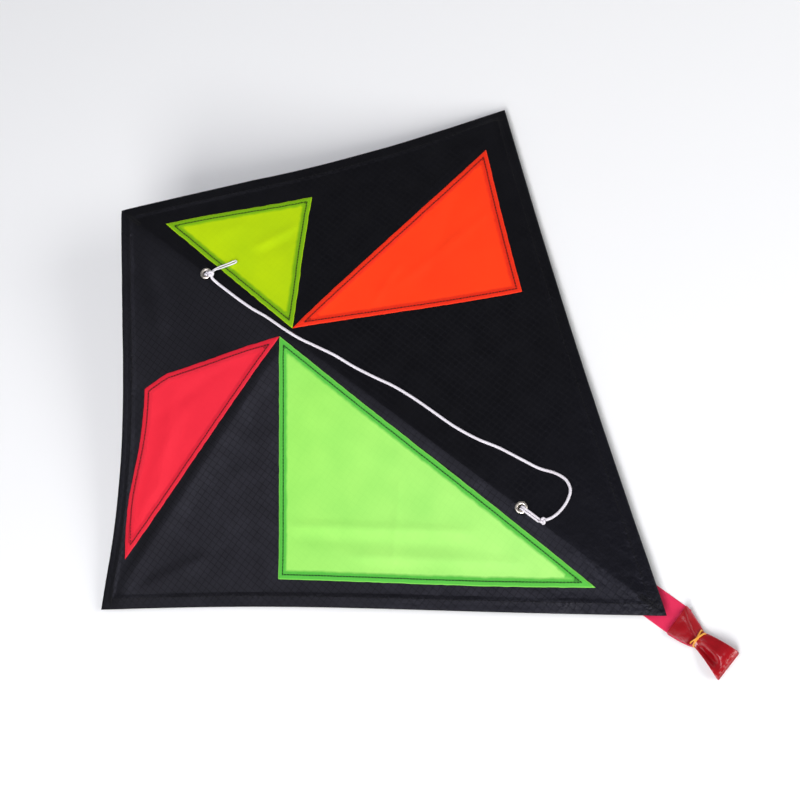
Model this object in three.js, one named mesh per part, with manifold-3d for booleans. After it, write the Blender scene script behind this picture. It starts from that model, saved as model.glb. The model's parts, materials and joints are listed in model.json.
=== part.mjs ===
// Diamond kite lying on its back: a bent-back sail with four appliqued panels, a spine rod, two cross
// spars in a moulded joiner, end caps and pockets, two eyelets, a slack bridle and a folded ribbon tail.
// Millimetres, +Y towards the nose, +Z up out of the sail's face, standing on z = 0.

import * as THREE from 'three';
import { mergeVertices } from 'three/addons/utils/BufferGeometryUtils.js';
import Module from 'manifold-3d';

const wasm = await Module();
wasm.setup();

// ---- Driving dimensions -------------------------------------------------------------------------

// Sail. The frame group's origin is the tail tip, its Y runs along the spine to the nose, and its z = 0
// is the flat ridge band. A wing's own x is measured from the line where the two wing planes would meet.
const SPINE_LINE = 600;
const WING_SPAN = 287;
const CROSS_Y = 398;
const DIHEDRAL = THREE.MathUtils.degToRad(12.5);
const CLOTH = 0.5;
const GAP = 0.3;
const BAND_HALF = 5;
const RIDGE_APEX = BAND_HALF * Math.tan(DIHEDRAL);
const WING_INNER = 5.5;
const EDGE_DRAW = { upperRight: 4, lowerRight: 3, upperLeft: 10, lowerLeft: 5 };
const EDGE_STEPS = 12;

// Appliqued panels: corners in wing coordinates. The black cloth is cut away behind them, SEAM inside.
const SEAM = 8;
const PANEL_LOW = CLOTH / 2 + GAP;
const PANEL_HIGH = PANEL_LOW + 0.4;
const LIME = [[14.5, 558], [115, 474.5], [6.5, 397]];
const ORANGE = [[6.5, 397], [245, 384], [154, 268]];
const GREEN = [[-5.6, 401.5], [-169.5, 280], [-15.5, 55.5]];
const RED = [[-5.6, 401.5], [-94.5, 473.5], [-113.5, 483], [-240.5, 407.5]];

// Rods, their vinyl caps and the pockets that hold the caps
const ROD_RADIUS = 1.5;
const ROD_DEPTH = 3.9;
const ROD_INSET = 9;
const CAP_BORE = 1.8;
const CAP_RADIUS = 2.3;
const CAP_END = 1.2;
const CAP_LENGTH = 14;
const POCKET_BORE = 2.6;
const POCKET_WALL = 0.5;
const POCKET_LENGTH = 18;
const POCKET_TOP = -(CLOTH / 2 + GAP);
const POCKET_RADIUS = POCKET_BORE + POCKET_WALL;
const POCKET_REACH = CAP_END + 2 * GAP + POCKET_WALL;
const PATCH_SIDE = 27;

// Joiner: a core on the spine and one socket arm for each cross spar, with the flexing neck left open
const JOINER_RADIUS = 4;
const JOINER_TOP = -(CLOTH / 2 + 0.35);
const JOINER_BORE = 1.8;
const CORE_LENGTH = 24;
const ARM_START = 6.4;
const ARM_END = 35;
const SPAR_START = 11;

// Eyelets and bridle
const UPPER_EYELET_Y = 494;
const LOWER_EYELET_Y = 141.5;
const EYELET_HOLE = 2.6;
const EYELET_BARREL = 2.9;
const EYELET_RADIUS = 4.9;
const EYELET_CLOTH_HOLE = 3.2;
const FLANGE_LOW = CLOTH / 2 + GAP;
const WASHER_HIGH = -(CLOTH / 2 + GAP);
const WASHER_THICK = 0.5;
const BARREL_LOW = -1.15;
const CORD_RADIUS = 1.1;
const TAG_RADIUS = 0.6;
const STRAND_X = 1.2;

// Ribbon tail, lying on the ground
const RIBBON_WIDTH = 25;
const RIBBON_THICK = 0.4;
const TAIL_HINGE_Y = 2;
const SEWN_END_Y = 26;
const RUN_END_Y = -11.4;
const BUNDLE_START_Y = -13;
const BUNDLE_TURN = THREE.MathUtils.degToRad(-4.8);
const BUNDLE_LENGTH = 51;
const WAIST_Y = -22.5;
const WAIST_HALF = { width: 6, length: 1.8 };
const BAND_CENTRE_Z = 3.9;
const RUBBER_BAND = { innerX: 6.3, innerZ: 3, wall: 0.8, corner: 1.2, length: 2.6 };

// The kite stands on the sewn ribbon end and on the two wing-tip pockets, which sets the spine's slope.
const TIP_END_X = WING_SPAN - ROD_INSET + POCKET_REACH;
const POCKET_BOTTOM = -(ROD_DEPTH + POCKET_RADIUS);
const TAIL_POCKET_END = ROD_INSET - POCKET_REACH;
const TAIL_SUPPORT = RIBBON_THICK + GAP;
const tipDrop = RIDGE_APEX - TIP_END_X * Math.sin(DIHEDRAL) + POCKET_BOTTOM * Math.cos(DIHEDRAL);
const supportRun = CROSS_Y - TAIL_POCKET_END;
const supportFall = POCKET_BOTTOM - tipDrop;
const SLOPE = Math.atan2(supportFall, supportRun)
  - Math.asin(TAIL_SUPPORT / Math.hypot(supportRun, supportFall));
const TAIL_TIP_Z = TAIL_SUPPORT - TAIL_POCKET_END * Math.sin(SLOPE) - POCKET_BOTTOM * Math.cos(SLOPE);

// ---- Materials ----------------------------------------------------------------------------------

const material = (color, roughness, metalness = 0) =>
  new THREE.MeshStandardMaterial({ color, roughness, metalness });
const blackCloth = material(0x17171a, 0.55);
const limeCloth = material(0xaecc18, 0.6);
const orangeCloth = material(0xf8441f, 0.6);
const greenCloth = material(0x98e86a, 0.6);
const redCloth = material(0xe62c42, 0.6);
const webbing = material(0x141416, 0.85);
const glassFibre = material(0x1c1c1e, 0.35);
const vinyl = material(0x101010, 0.5);
const nickel = material(0xc9c4b8, 0.25, 1);
const cordWhite = material(0xeeeeee, 0.8);
const ribbonRed = material(0xb81b35, 0.3);
const bandAmber = material(0xd9832b, 0.5);

// ---- Helpers ------------------------------------------------------------------------------------

function solid(geometry) {
  const bare = geometry.clone();
  bare.deleteAttribute('normal');
  bare.deleteAttribute('uv');
  const merged = mergeVertices(bare, 1e-4);
  return new wasm.Manifold(new wasm.Mesh({
    numProp: 3,
    vertProperties: new Float32Array(merged.attributes.position.array),
    triVerts: new Uint32Array(merged.index.array),
  }));
}

function geometryOf(manifold) {
  const { vertProperties, triVerts } = manifold.getMesh();
  const geometry = new THREE.BufferGeometry();
  geometry.setAttribute('position', new THREE.BufferAttribute(vertProperties, 3));
  geometry.setIndex(new THREE.BufferAttribute(triVerts, 1));
  geometry.computeVertexNormals();
  return geometry;
}

// A shape through the given points, always anticlockwise.
function outline(points) {
  const corners = points.map(([x, y]) => new THREE.Vector2(x, y));
  return new THREE.Shape(THREE.ShapeUtils.isClockWise(corners) ? corners.reverse() : corners);
}

// A flat plate of the given outline, from one height to another.
function plate(shape, low, high) {
  const options = { depth: high - low, bevelEnabled: false, curveSegments: 24 };
  return new THREE.ExtrudeGeometry(shape, options).translate(0, 0, low);
}

// A cylinder along Y from one end to the other, at a depth below the sail.
function barAlongY(radius, from, to, depth, sides = 16) {
  return new THREE.CylinderGeometry(radius, radius, to - from, sides).translate(0, (from + to) / 2, -depth);
}

function block(x0, x1, y0, y1, z0, z1) {
  return new THREE.BoxGeometry(x1 - x0, y1 - y0, z1 - z0)
    .translate((x0 + x1) / 2, (y0 + y1) / 2, (z0 + z1) / 2);
}

// A round cord along hand-placed points.
function cord(points, radius, steps) {
  const path = new THREE.CatmullRomCurve3(points.map((p) => new THREE.Vector3(...p)), false, 'centripetal');
  const section = outline([...Array(8).keys()].map((i) => {
    const angle = (i + 0.5) * Math.PI / 4;
    return [radius * Math.cos(angle), radius * Math.sin(angle)];
  }));
  return new THREE.ExtrudeGeometry(section, { steps, extrudePath: path, bevelEnabled: false });
}

function add(parent, name, geometry, finish) {
  const mesh = new THREE.Mesh(geometry, finish);
  mesh.name = name;
  parent.add(mesh);
}

// ---- Groups: everything hangs from the frame group, except the ribbon on the ground ---------------

const kite = new THREE.Group();

const frame = new THREE.Group();
frame.position.set(0, 0, TAIL_TIP_Z);
frame.rotation.x = SLOPE;
kite.add(frame);

const wings = {};
for (const [side, sign] of [['right', 1], ['left', -1]]) {
  wings[side] = new THREE.Group();
  wings[side].position.z = RIDGE_APEX;
  wings[side].rotation.y = sign * DIHEDRAL;
  frame.add(wings[side]);
}

const ground = new THREE.Group();
kite.add(ground);

// ---- Sail ---------------------------------------------------------------------------------------

// One edge of the sail, drawn in towards the middle by the pull of its hem.
function sailEdge([x0, y0], [x1, y1], draw, sign) {
  const points = [];
  const length = Math.hypot(x1 - x0, y1 - y0);
  for (let i = 0; i < EDGE_STEPS; i += 1) {
    const t = i / EDGE_STEPS;
    const inward = 4 * draw * t * (1 - t);
    const x = x0 + (x1 - x0) * t + sign * (y1 - y0) / length * inward;
    const y = y0 + (y1 - y0) * t - sign * (x1 - x0) / length * inward;
    points.push([x, y]);
  }
  return points;
}

function halfOutline(sign, upperDraw, lowerDraw) {
  const nose = [0, SPINE_LINE];
  const tip = [sign * WING_SPAN, CROSS_Y];
  const tail = [0, 0];
  return [...sailEdge(nose, tip, upperDraw, sign), ...sailEdge(tip, tail, lowerDraw, sign), tail];
}

const halves = {
  right: halfOutline(1, EDGE_DRAW.upperRight, EDGE_DRAW.lowerRight),
  left: halfOutline(-1, EDGE_DRAW.upperLeft, EDGE_DRAW.lowerLeft),
};

// The same outline with each side moved inwards by a seam's width.
function inset(points, by) {
  const flat = points.map(([x, y]) => new THREE.Vector2(x, y));
  const turn = THREE.ShapeUtils.area(flat) > 0 ? 1 : -1;
  const sides = flat.map((a, i) => {
    const along = flat[(i + 1) % flat.length].clone().sub(a).normalize();
    const inward = new THREE.Vector2(-along.y, along.x).multiplyScalar(turn * by);
    return { start: a.clone().add(inward), along };
  });
  return sides.map((side, i) => {
    const before = sides[(i + sides.length - 1) % sides.length];
    const reach = side.start.clone().sub(before.start).cross(side.along) / before.along.cross(side.along);
    const corner = before.start.clone().addScaledVector(before.along, reach);
    return [corner.x, corner.y];
  });
}

function sailHalf(points, panels, sign) {
  const cloth = outline(points);
  cloth.holes = panels.map((panel) => outline(inset(panel, SEAM)));
  const strip = block(-WING_INNER, WING_INNER, -1, SPINE_LINE + 1, -CLOTH, CLOTH);
  return geometryOf(solid(plate(cloth, -CLOTH / 2, CLOTH / 2)).subtract(solid(strip)));
}

// The flat strip of sail over the spine, pointed at nose and tail, with the eyelet holes in it.
function ridgeBand() {
  const whole = solid(plate(outline(halves.right), -CLOTH / 2, CLOTH / 2))
    .add(solid(plate(outline(halves.left), -CLOTH / 2, CLOTH / 2)));
  let band = whole.intersect(solid(block(-BAND_HALF, BAND_HALF, -1, SPINE_LINE + 1, -CLOTH, CLOTH)));
  for (const y of [UPPER_EYELET_Y, LOWER_EYELET_Y]) {
    const punch = new THREE.CylinderGeometry(EYELET_CLOTH_HOLE, EYELET_CLOTH_HOLE, 4, 24);
    band = band.subtract(solid(punch.rotateX(Math.PI / 2).translate(0, y, 0)));
  }
  return geometryOf(band);
}

add(frame, 'sail_ridge_band', ridgeBand(), blackCloth);
add(wings.right, 'sail_right', sailHalf(halves.right, [LIME, ORANGE]), blackCloth);
add(wings.left, 'sail_left', sailHalf(halves.left, [GREEN, RED]), blackCloth);

add(wings.right, 'panel_lime', plate(outline(LIME), PANEL_LOW, PANEL_HIGH), limeCloth);
add(wings.right, 'panel_orange', plate(outline(ORANGE), PANEL_LOW, PANEL_HIGH), orangeCloth);
add(wings.left, 'panel_green', plate(outline(GREEN), PANEL_LOW, PANEL_HIGH), greenCloth);
add(wings.left, 'panel_red', plate(outline(RED), PANEL_LOW, PANEL_HIGH), redCloth);

// ---- Rods and caps ------------------------------------------------------------------------------

const NOSE_END = SPINE_LINE - ROD_INSET;
add(frame, 'spine_rod', barAlongY(ROD_RADIUS, ROD_INSET, NOSE_END, ROD_DEPTH), glassFibre);

// A cap along Y whose closed end is at the rod's end; the way out is +1 or -1.
function endCap(rodEnd, out) {
  const tip = rodEnd + out * (GAP + CAP_END);
  const mouth = tip - out * CAP_LENGTH;
  const floor = rodEnd + out * GAP;
  const body = barAlongY(CAP_RADIUS, Math.min(tip, mouth), Math.max(tip, mouth), ROD_DEPTH);
  const past = mouth - out;
  const bore = barAlongY(CAP_BORE, Math.min(floor, past), Math.max(floor, past), ROD_DEPTH);
  return geometryOf(solid(body).subtract(solid(bore)));
}

add(frame, 'spine_nose_cap', endCap(NOSE_END, 1), vinyl);
add(frame, 'spine_tail_cap', endCap(ROD_INSET, -1), vinyl);

// Wing parts are drawn along Y and turned so that Y becomes the way out to the wing tip.
const alongWing = (geometry, sign) => geometry.rotateZ(-sign * Math.PI / 2).translate(0, CROSS_Y, 0);
const SPAR_END = WING_SPAN - ROD_INSET;

for (const [side, sign] of [['right', 1], ['left', -1]]) {
  const rod = barAlongY(ROD_RADIUS, SPAR_START, SPAR_END, ROD_DEPTH);
  add(wings[side], `${side}_spar`, alongWing(rod, sign), glassFibre);
  add(wings[side], `${side}_spar_cap`, alongWing(endCap(SPAR_END, 1), sign), vinyl);
}

// ---- Pockets ------------------------------------------------------------------------------------

// A webbing channel, open towards the sail and closed at its outer end, with sewn flanges.
function pocket(rodEnd, out, flange) {
  const end = rodEnd + out * POCKET_REACH;
  const mouth = end - out * POCKET_LENGTH;
  const [low, high] = [Math.min(end, mouth), Math.max(end, mouth)];
  const inner = end - out * POCKET_WALL;
  const past = mouth - out;
  const [cutLow, cutHigh] = [Math.min(inner, past), Math.max(inner, past)];
  const trough = solid(barAlongY(POCKET_RADIUS, low, high, ROD_DEPTH, 20))
    .add(solid(block(-POCKET_RADIUS, POCKET_RADIUS, low, high, -ROD_DEPTH, POCKET_TOP)))
    .intersect(solid(block(-20, 20, low - 1, high + 1, -20, POCKET_TOP)));
  const hollow = solid(barAlongY(POCKET_BORE, cutLow, cutHigh, ROD_DEPTH, 20))
    .add(solid(block(-POCKET_BORE, POCKET_BORE, cutLow, cutHigh, -ROD_DEPTH, 1)));
  return geometryOf(trough.add(solid(flange(low, high))).subtract(hollow));
}

const stripFlange = (low, high) =>
  block(-BAND_HALF + GAP, BAND_HALF - GAP, low, high, POCKET_TOP - POCKET_WALL, POCKET_TOP);

// The wing tip's flange is a corner patch that follows the two sail edges, pointing out along Y.
function patchFlange() {
  const tip = WING_SPAN - 3;
  const upper = Math.atan2(SPINE_LINE - CROSS_Y, WING_SPAN);
  const lower = Math.atan2(CROSS_Y, WING_SPAN);
  const corners = [[0, tip]];
  corners.push([PATCH_SIDE * Math.sin(lower), tip - PATCH_SIDE * Math.cos(lower)]);
  corners.push([-PATCH_SIDE * Math.sin(upper), tip - PATCH_SIDE * Math.cos(upper)]);
  return plate(outline(corners), POCKET_TOP - POCKET_WALL, POCKET_TOP);
}

add(frame, 'nose_pocket', pocket(NOSE_END, 1, stripFlange), webbing);
add(frame, 'tail_pocket', pocket(ROD_INSET, -1, stripFlange), webbing);
for (const [side, sign] of [['right', 1], ['left', -1]]) {
  const geometry = pocket(SPAR_END, 1, patchFlange);
  if (sign < 0) geometry.scale(-1, 1, 1).index.array.reverse();
  add(wings[side], `${side}_tip_pocket`, alongWing(geometry, sign), webbing);
}

// ---- Joiner -------------------------------------------------------------------------------------

// A moulded tube along Y with its side towards the sail cut flat.
function joinerTube(from, to, boreFrom, boreTo) {
  const body = solid(barAlongY(JOINER_RADIUS, from, to, ROD_DEPTH, 24))
    .intersect(solid(block(-20, 20, from - 1, to + 1, -20, JOINER_TOP)));
  return geometryOf(body.subtract(solid(barAlongY(JOINER_BORE, boreFrom, boreTo, ROD_DEPTH))));
}

const CORE_FROM = CROSS_Y - CORE_LENGTH / 2;
const CORE_TO = CROSS_Y + CORE_LENGTH / 2;
add(frame, 'joiner_core', joinerTube(CORE_FROM, CORE_TO, CORE_FROM - 1, CORE_TO + 1), vinyl);
for (const [side, sign] of [['right', 1], ['left', -1]]) {
  const arm = joinerTube(ARM_START, ARM_END, SPAR_START - GAP, ARM_END + 1);
  add(wings[side], `joiner_${side}_arm`, alongWing(arm, sign), vinyl);
}

// ---- Eyelets ------------------------------------------------------------------------------------

function eyelet(y) {
  const profile = [
    [EYELET_HOLE, BARREL_LOW], [EYELET_BARREL, BARREL_LOW], [EYELET_BARREL, FLANGE_LOW],
    [EYELET_RADIUS, FLANGE_LOW], [EYELET_RADIUS, 0.85], [4.4, 1.2], [3.6, 1.3], [EYELET_HOLE, 0.9],
    [EYELET_HOLE, BARREL_LOW],
  ].map(([r, z]) => new THREE.Vector2(r, z));
  return new THREE.LatheGeometry(profile, 28).rotateX(Math.PI / 2).translate(0, y, 0);
}

function washer(y) {
  const ring = new THREE.Shape().absarc(0, 0, EYELET_RADIUS, 0, 2 * Math.PI);
  ring.holes.push(new THREE.Path().absarc(0, 0, EYELET_CLOTH_HOLE, 0, 2 * Math.PI, true));
  return plate(ring, WASHER_HIGH - WASHER_THICK, WASHER_HIGH).translate(0, y, 0);
}

for (const [place, y] of [['upper', UPPER_EYELET_Y], ['lower', LOWER_EYELET_Y]]) {
  add(frame, `${place}_eyelet`, eyelet(y), nickel);
  add(frame, `${place}_eyelet_washer`, washer(y), nickel);
}

// ---- Bridle: one cord tied round the spine through both eyelets, lying slack on the sail ------------

const sailZ = (x) => -Math.max(0, Math.abs(x) - BAND_HALF) * Math.tan(DIHEDRAL);
const raised = ([x, y, clear]) => [x, y, sailZ(x) + clear];

// The cord's loop from its knot over the flange, down the eyelet, round the spine rod and back.
function spineLoop(y, knotEdge, knotHeight) {
  const down = [
    [STRAND_X, knotEdge, knotHeight], [STRAND_X, y - 2.2, knotHeight], [STRAND_X, y - 0.3, 1.6],
    [STRAND_X, y, -1], [1.6, y, -1.75], [2.5, y, -2.7], [2.85, y, -3.9], [2, y, -5.9],
  ];
  const up = down.map(([x, py, z]) => [-x, py, z]).reverse();
  return cord([...down, [0, y, -6.75], ...up], CORD_RADIUS, 44);
}

function knot(x, y, z, rx, ry, rz) {
  return new THREE.SphereGeometry(1, 14, 10).scale(rx, ry, rz).translate(x, y, z);
}

const BRIDLE_ROUTE = [
  [-1.2, 485.2, 3.6], [-1.2, 478, 2.5], [-1.1, 467.7, 1.9], [-1.2, 452.5, 1.9], [-0.7, 437.4, 1.9],
  [0.8, 423.7, 1.9], [1.6, 401.8, 2], [2.8, 386, 2.2], [6, 368.7, 2.3], [9.2, 351.2, 2], [11.2, 331, 1.8],
  [14.6, 310.2, 1.7], [18, 292.8, 1.7], [20, 269.2, 1.7], [20.4, 250, 1.7], [21, 229.2, 1.7],
  [24, 207.3, 1.7], [28.6, 189.1, 1.7], [31.2, 172.7, 1.7], [34.6, 151.9, 1.7], [39, 139.5, 1.7],
  [39.8, 129.5, 1.7], [35.4, 121, 1.7], [26.5, 116.8, 1.7], [16, 115.6, 2], [8.8, 116.4, 2.7],
  [5.3, 117.7, 3.3],
];
const TAG_ROUTE = [
  [7.1, 489.2, 3.8], [12, 487.4, 3.2], [18, 484.6, 2.6], [22.6, 482.6, 2.4], [24.6, 481.2, 2.4],
  [24, 479.9, 2.4], [21.6, 480.6, 2.4], [17.2, 482.7, 2.6], [11.2, 485.6, 3.2], [6.9, 487.5, 3.8],
];

add(frame, 'upper_bridle_loop', spineLoop(UPPER_EYELET_Y, UPPER_EYELET_Y - 2.5, 3.9), cordWhite);
add(frame, 'upper_bridle_knot', knot(2, 488.2, 4, 3.6, 2.7, 2.3), cordWhite);
add(frame, 'bridle_line', cord(BRIDLE_ROUTE.map(raised), CORD_RADIUS, 80), cordWhite);
add(frame, 'bridle_tag_loop', cord(TAG_ROUTE.map(raised), TAG_RADIUS, 36), cordWhite);
add(frame, 'lower_bridle_knot', knot(1.4, 120, 3.4, 3.8, 3.4, 2.6), cordWhite);
add(frame, 'lower_bridle_loop', spineLoop(LOWER_EYELET_Y, 123.8, 3), cordWhite);

// ---- Ribbon tail --------------------------------------------------------------------------------

const ribbonStrip = (from, to) => block(-RIBBON_WIDTH / 2, RIBBON_WIDTH / 2, from, to, 0, RIBBON_THICK);
add(ground, 'tail_sewn_end', ribbonStrip(TAIL_HINGE_Y + GAP, SEWN_END_Y), ribbonRed);
add(ground, 'tail_ribbon', ribbonStrip(RUN_END_Y, TAIL_HINGE_Y - GAP), ribbonRed);

const bundle = new THREE.Group();
bundle.position.set(0.5, BUNDLE_START_Y, 0);
bundle.rotation.z = BUNDLE_TURN;
ground.add(bundle);

// The folded tail is a bow seen from above, pinched by the rubber band, and thicker at its far end.
function foldedTail() {
  const half = RIBBON_WIDTH / 2;
  const [near, far] = [WAIST_Y + WAIST_HALF.length, WAIST_Y - WAIST_HALF.length];
  const above = [
    [-half, 0], [half, 0], [WAIST_HALF.width, near], [WAIST_HALF.width, far], [half, -BUNDLE_LENGTH],
    [-half, -BUNDLE_LENGTH], [-WAIST_HALF.width, far], [-WAIST_HALF.width, near],
  ];
  const aside = [
    [0, 0], [0, 6], [near, 6.6], [far, 6.6], [-BUNDLE_LENGTH, 8.5], [-BUNDLE_LENGTH, 0], [far, 1.2],
    [near, 1.2],
  ].map(([y, z]) => [z, y]);
  const plan = solid(plate(outline(above), 0, 10));
  const side = solid(plate(outline(aside), -half - 1, half + 1).rotateY(-Math.PI / 2));
  return geometryOf(plan.intersect(side));
}

// The band's ring, a rectangle with rounded outer corners, lies across the bow's waist.
function bandRing() {
  const { innerX, innerZ, wall, corner, length } = RUBBER_BAND;
  const [x, z] = [innerX + wall - corner, innerZ + wall - corner];
  const corners = [[1, -1], [1, 1], [-1, 1], [-1, -1]];
  const ring = outline(corners.flatMap(([sx, sz], quarter) => [...Array(5).keys()].map((i) => {
    const angle = (quarter - 1 + i / 4) * Math.PI / 2;
    return [sx * x + corner * Math.cos(angle), sz * z + corner * Math.sin(angle)];
  })));
  ring.holes.push(outline([[-innerX, -innerZ], [innerX, -innerZ], [innerX, innerZ], [-innerX, innerZ]]));
  const options = { depth: length, bevelEnabled: false };
  return new THREE.ExtrudeGeometry(ring, options)
    .rotateX(Math.PI / 2)
    .translate(0, WAIST_Y + length / 2, BAND_CENTRE_Z);
}

add(bundle, 'tail_bundle', foldedTail(), ribbonRed);
add(bundle, 'rubber_band', bandRing(), bandAmber);

// The origin is the middle of the kite's footprint, on the ground.
const footprint = new THREE.Box3().setFromObject(kite, true);
kite.position.y = -(footprint.min.y + footprint.max.y) / 2;

export default kite;
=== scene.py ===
"""Looks of a diamond kite that lies on its back, its ribbon tail folded up in a rubber band.

Lengths are in metres, in the kite's own frame: X across it, Y from the tail tip along the spine to the
nose, and Z out of the sail's face. The tail tip is the origin, and to_world() gives the row frame.
Flat cloth is cut in (x, y), with x measured along each wing from the line over the spine.
"""

import json
import math

import bpy
import numpy as np
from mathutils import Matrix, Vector
from mathutils.geometry import delaunay_2d_cdt


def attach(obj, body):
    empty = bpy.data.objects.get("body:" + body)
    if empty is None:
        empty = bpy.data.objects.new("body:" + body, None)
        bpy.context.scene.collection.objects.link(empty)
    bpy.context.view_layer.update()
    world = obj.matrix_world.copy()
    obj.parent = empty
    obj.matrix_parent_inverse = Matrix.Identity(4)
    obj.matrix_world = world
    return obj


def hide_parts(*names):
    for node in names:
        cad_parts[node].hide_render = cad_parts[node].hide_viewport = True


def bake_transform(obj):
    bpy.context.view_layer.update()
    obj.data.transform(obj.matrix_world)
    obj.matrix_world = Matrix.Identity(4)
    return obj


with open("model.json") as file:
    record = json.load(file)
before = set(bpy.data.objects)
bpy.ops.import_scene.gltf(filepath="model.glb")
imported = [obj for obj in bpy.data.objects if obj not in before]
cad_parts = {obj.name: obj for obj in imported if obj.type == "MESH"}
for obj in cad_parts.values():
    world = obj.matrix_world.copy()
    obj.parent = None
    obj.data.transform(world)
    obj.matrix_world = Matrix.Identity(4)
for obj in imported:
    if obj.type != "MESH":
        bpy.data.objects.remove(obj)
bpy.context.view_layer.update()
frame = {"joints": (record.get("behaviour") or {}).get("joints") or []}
rng = np.random.default_rng(7)

# ---- Driving dimensions, as in the CAD source --------------------------------

JOINTS = {joint["name"]: joint for joint in frame["joints"]}
SPINE_LINE = 0.600
WING_SPAN = 0.287
CROSS_Y = 0.398
DIHEDRAL = math.radians(12.5)
FALL = math.tan(DIHEDRAL)
RIDGE_ROUND = 0.005
# The sail's corners, and how far each outer edge is drawn in: a bow over its length, and an S on top of it.
NOSE = (0.0, SPINE_LINE)
TIP = {1: (0.2882, 0.3990), -1: (-0.2885, 0.4002)}
TAIL = (0.0, -0.0018)
EDGE_DRAW = {"upper": {1: (0.0066, -0.0010), -1: (0.011, -0.002)},
             "lower": {1: (0.003, 0.0), -1: (0.0034, 0.0012)}}
WING = {1: "right_wing", -1: "left_wing"}
SIDE = {1: "right", -1: "left"}

CLOTH = 0.00024
HEM = 0.010
HEM_STITCH = 0.0085
SEAM = 0.0074
SEAM_STITCH = 0.0038
PANEL_LIFT = 0.00042
MESH_SPACING = 0.0040

LIME = [(0.0145, 0.558), (0.115, 0.4745), (0.0065, 0.397)]
ORANGE = [(0.0065, 0.397), (0.245, 0.384), (0.154, 0.268)]
GREEN = [(-0.0056, 0.4015), (-0.1695, 0.280), (-0.0155, 0.0555)]
RED = [(-0.0056, 0.4015), (-0.0906, 0.4730), (-0.1135, 0.483), (-0.2405, 0.4075)]
# How each side of a panel leaves a straight line, outwards: a bow over its length, and an S on top of it.
STRAIGHT = (0.0, 0.0)
LIME_BOWS = [(0.0004, 0.0003), (-0.0006, -0.0004), STRAIGHT]
ORANGE_BOWS = [(0.0006, 0.0), (-0.0005, 0.0), (0.0003, 0.0002)]
GREEN_BOWS = [(0.0003, 0.0), (0.0009, -0.0004), (0.0, 0.0004)]
RED_BOWS = [(0.0004, 0.0003), (0.0004, 0.0), (0.0012, -0.0026), (-0.0004, 0.0003)]

ROD_RADIUS = 0.0015
ROD_DEPTH = 0.0039
ROD_INSET = 0.009
SPAR_START = 0.011
EYELETS = {"upper": 0.494, "lower": 0.1415}
EYELET_CLOTH_HOLE = 0.0032
RIBBON_WIDTH = 0.025

# ---- The kite's own frame ----------------------------------------------------

ACROSS = np.array([1.0, 0.0, 0.0])
ALONG = np.array(JOINTS["right_wing_flex"]["axis"], float)
OUT = np.cross(ACROSS, ALONG)
TAIL_TIP = np.array(JOINTS["right_wing_flex"]["pos_m"], float) - CROSS_Y * ALONG


def turned(vectors):
    """Directions in the kite's frame, in the row frame."""
    v = np.asarray(vectors, float).reshape(-1, 3)
    return v[:, :1] * ACROSS + v[:, 1:2] * ALONG + v[:, 2:] * OUT


def to_world(points):
    """Points in the kite's frame, in the row frame."""
    return TAIL_TIP + turned(points)


# ---- Small helpers -----------------------------------------------------------


def unit(v):
    return v / np.maximum(np.linalg.norm(v, axis=-1, keepdims=True), 1e-12)


def smooth(t):
    t = np.clip(t, 0, 1)
    return t * t * (3 - 2 * t)


def noise(x, y, seed):
    """Smooth value noise from -1 to 1, one cell to a unit."""
    column, row = np.floor(x).astype(np.int64), np.floor(y).astype(np.int64)
    fx, fy = smooth(x - column), smooth(y - row)

    def corner(i, j):
        mixed = (i * 374761393 + j * 668265263 + seed * 1442695041) & 0xFFFFFFFF
        mixed = ((mixed ^ (mixed >> 13)) * 1274126177) & 0xFFFFFFFF
        return (mixed ^ (mixed >> 16)) / 0xFFFFFFFF * 2 - 1

    low = corner(column, row) * (1 - fx) + corner(column + 1, row) * fx
    high = corner(column, row + 1) * (1 - fx) + corner(column + 1, row + 1) * fx
    return low * (1 - fy) + high * fy


def evenly(line, step):
    """The same line with points about step apart."""
    line = np.asarray(line, float)
    along = np.concatenate([[0], np.cumsum(np.linalg.norm(np.diff(line, axis=0), axis=1))])
    at = np.linspace(0, along[-1], max(2, round(along[-1] / step) + 1))
    return np.stack([np.interp(at, along, line[:, k]) for k in range(line.shape[1])], axis=1)


def smooth_path(points, step):
    """A centripetal Catmull-Rom curve through the points, in even steps."""
    p = np.asarray(points, float)
    p = np.vstack([2 * p[0] - p[1], p, 2 * p[-1] - p[-2]])
    pieces = []
    for a, b, c, d in zip(p, p[1:], p[2:], p[3:]):
        knots = np.cumsum([0, *(np.linalg.norm(v) ** 0.5 for v in (b - a, c - b, d - c))])
        t = np.linspace(knots[1], knots[2], 24, endpoint=False)[:, None]

        def between(u, v, i, j):
            return (knots[j] - t) / (knots[j] - knots[i]) * u + (t - knots[i]) / (knots[j] - knots[i]) * v

        first, second, third = between(a, b, 0, 1), between(b, c, 1, 2), between(c, d, 2, 3)
        pieces.append(between(between(first, second, 0, 2), between(second, third, 1, 3), 1, 2))
    return evenly(np.vstack([*pieces, p[-2:-1]]), step)


def fillet(corners, radius, closed=False, steps=4):
    """A profile with its inner corners rounded, none by more than its sides allow."""
    points, count, out = [np.asarray(c, float) for c in corners], len(corners), []
    for i, here in enumerate(points):
        if not closed and i in (0, count - 1):
            out.append(here)
            continue
        before, after = points[i - 1], points[(i + 1) % count]
        reach = min(radius, np.linalg.norm(before - here) * 0.48, np.linalg.norm(after - here) * 0.48)
        start, end = here + unit(before - here) * reach, here + unit(after - here) * reach
        for t in np.linspace(0, 1, steps + 1):
            out.append((1 - t) ** 2 * start + 2 * t * (1 - t) * here + t * t * end)
    return np.array(out)


# ---- Meshes ------------------------------------------------------------------


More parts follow.
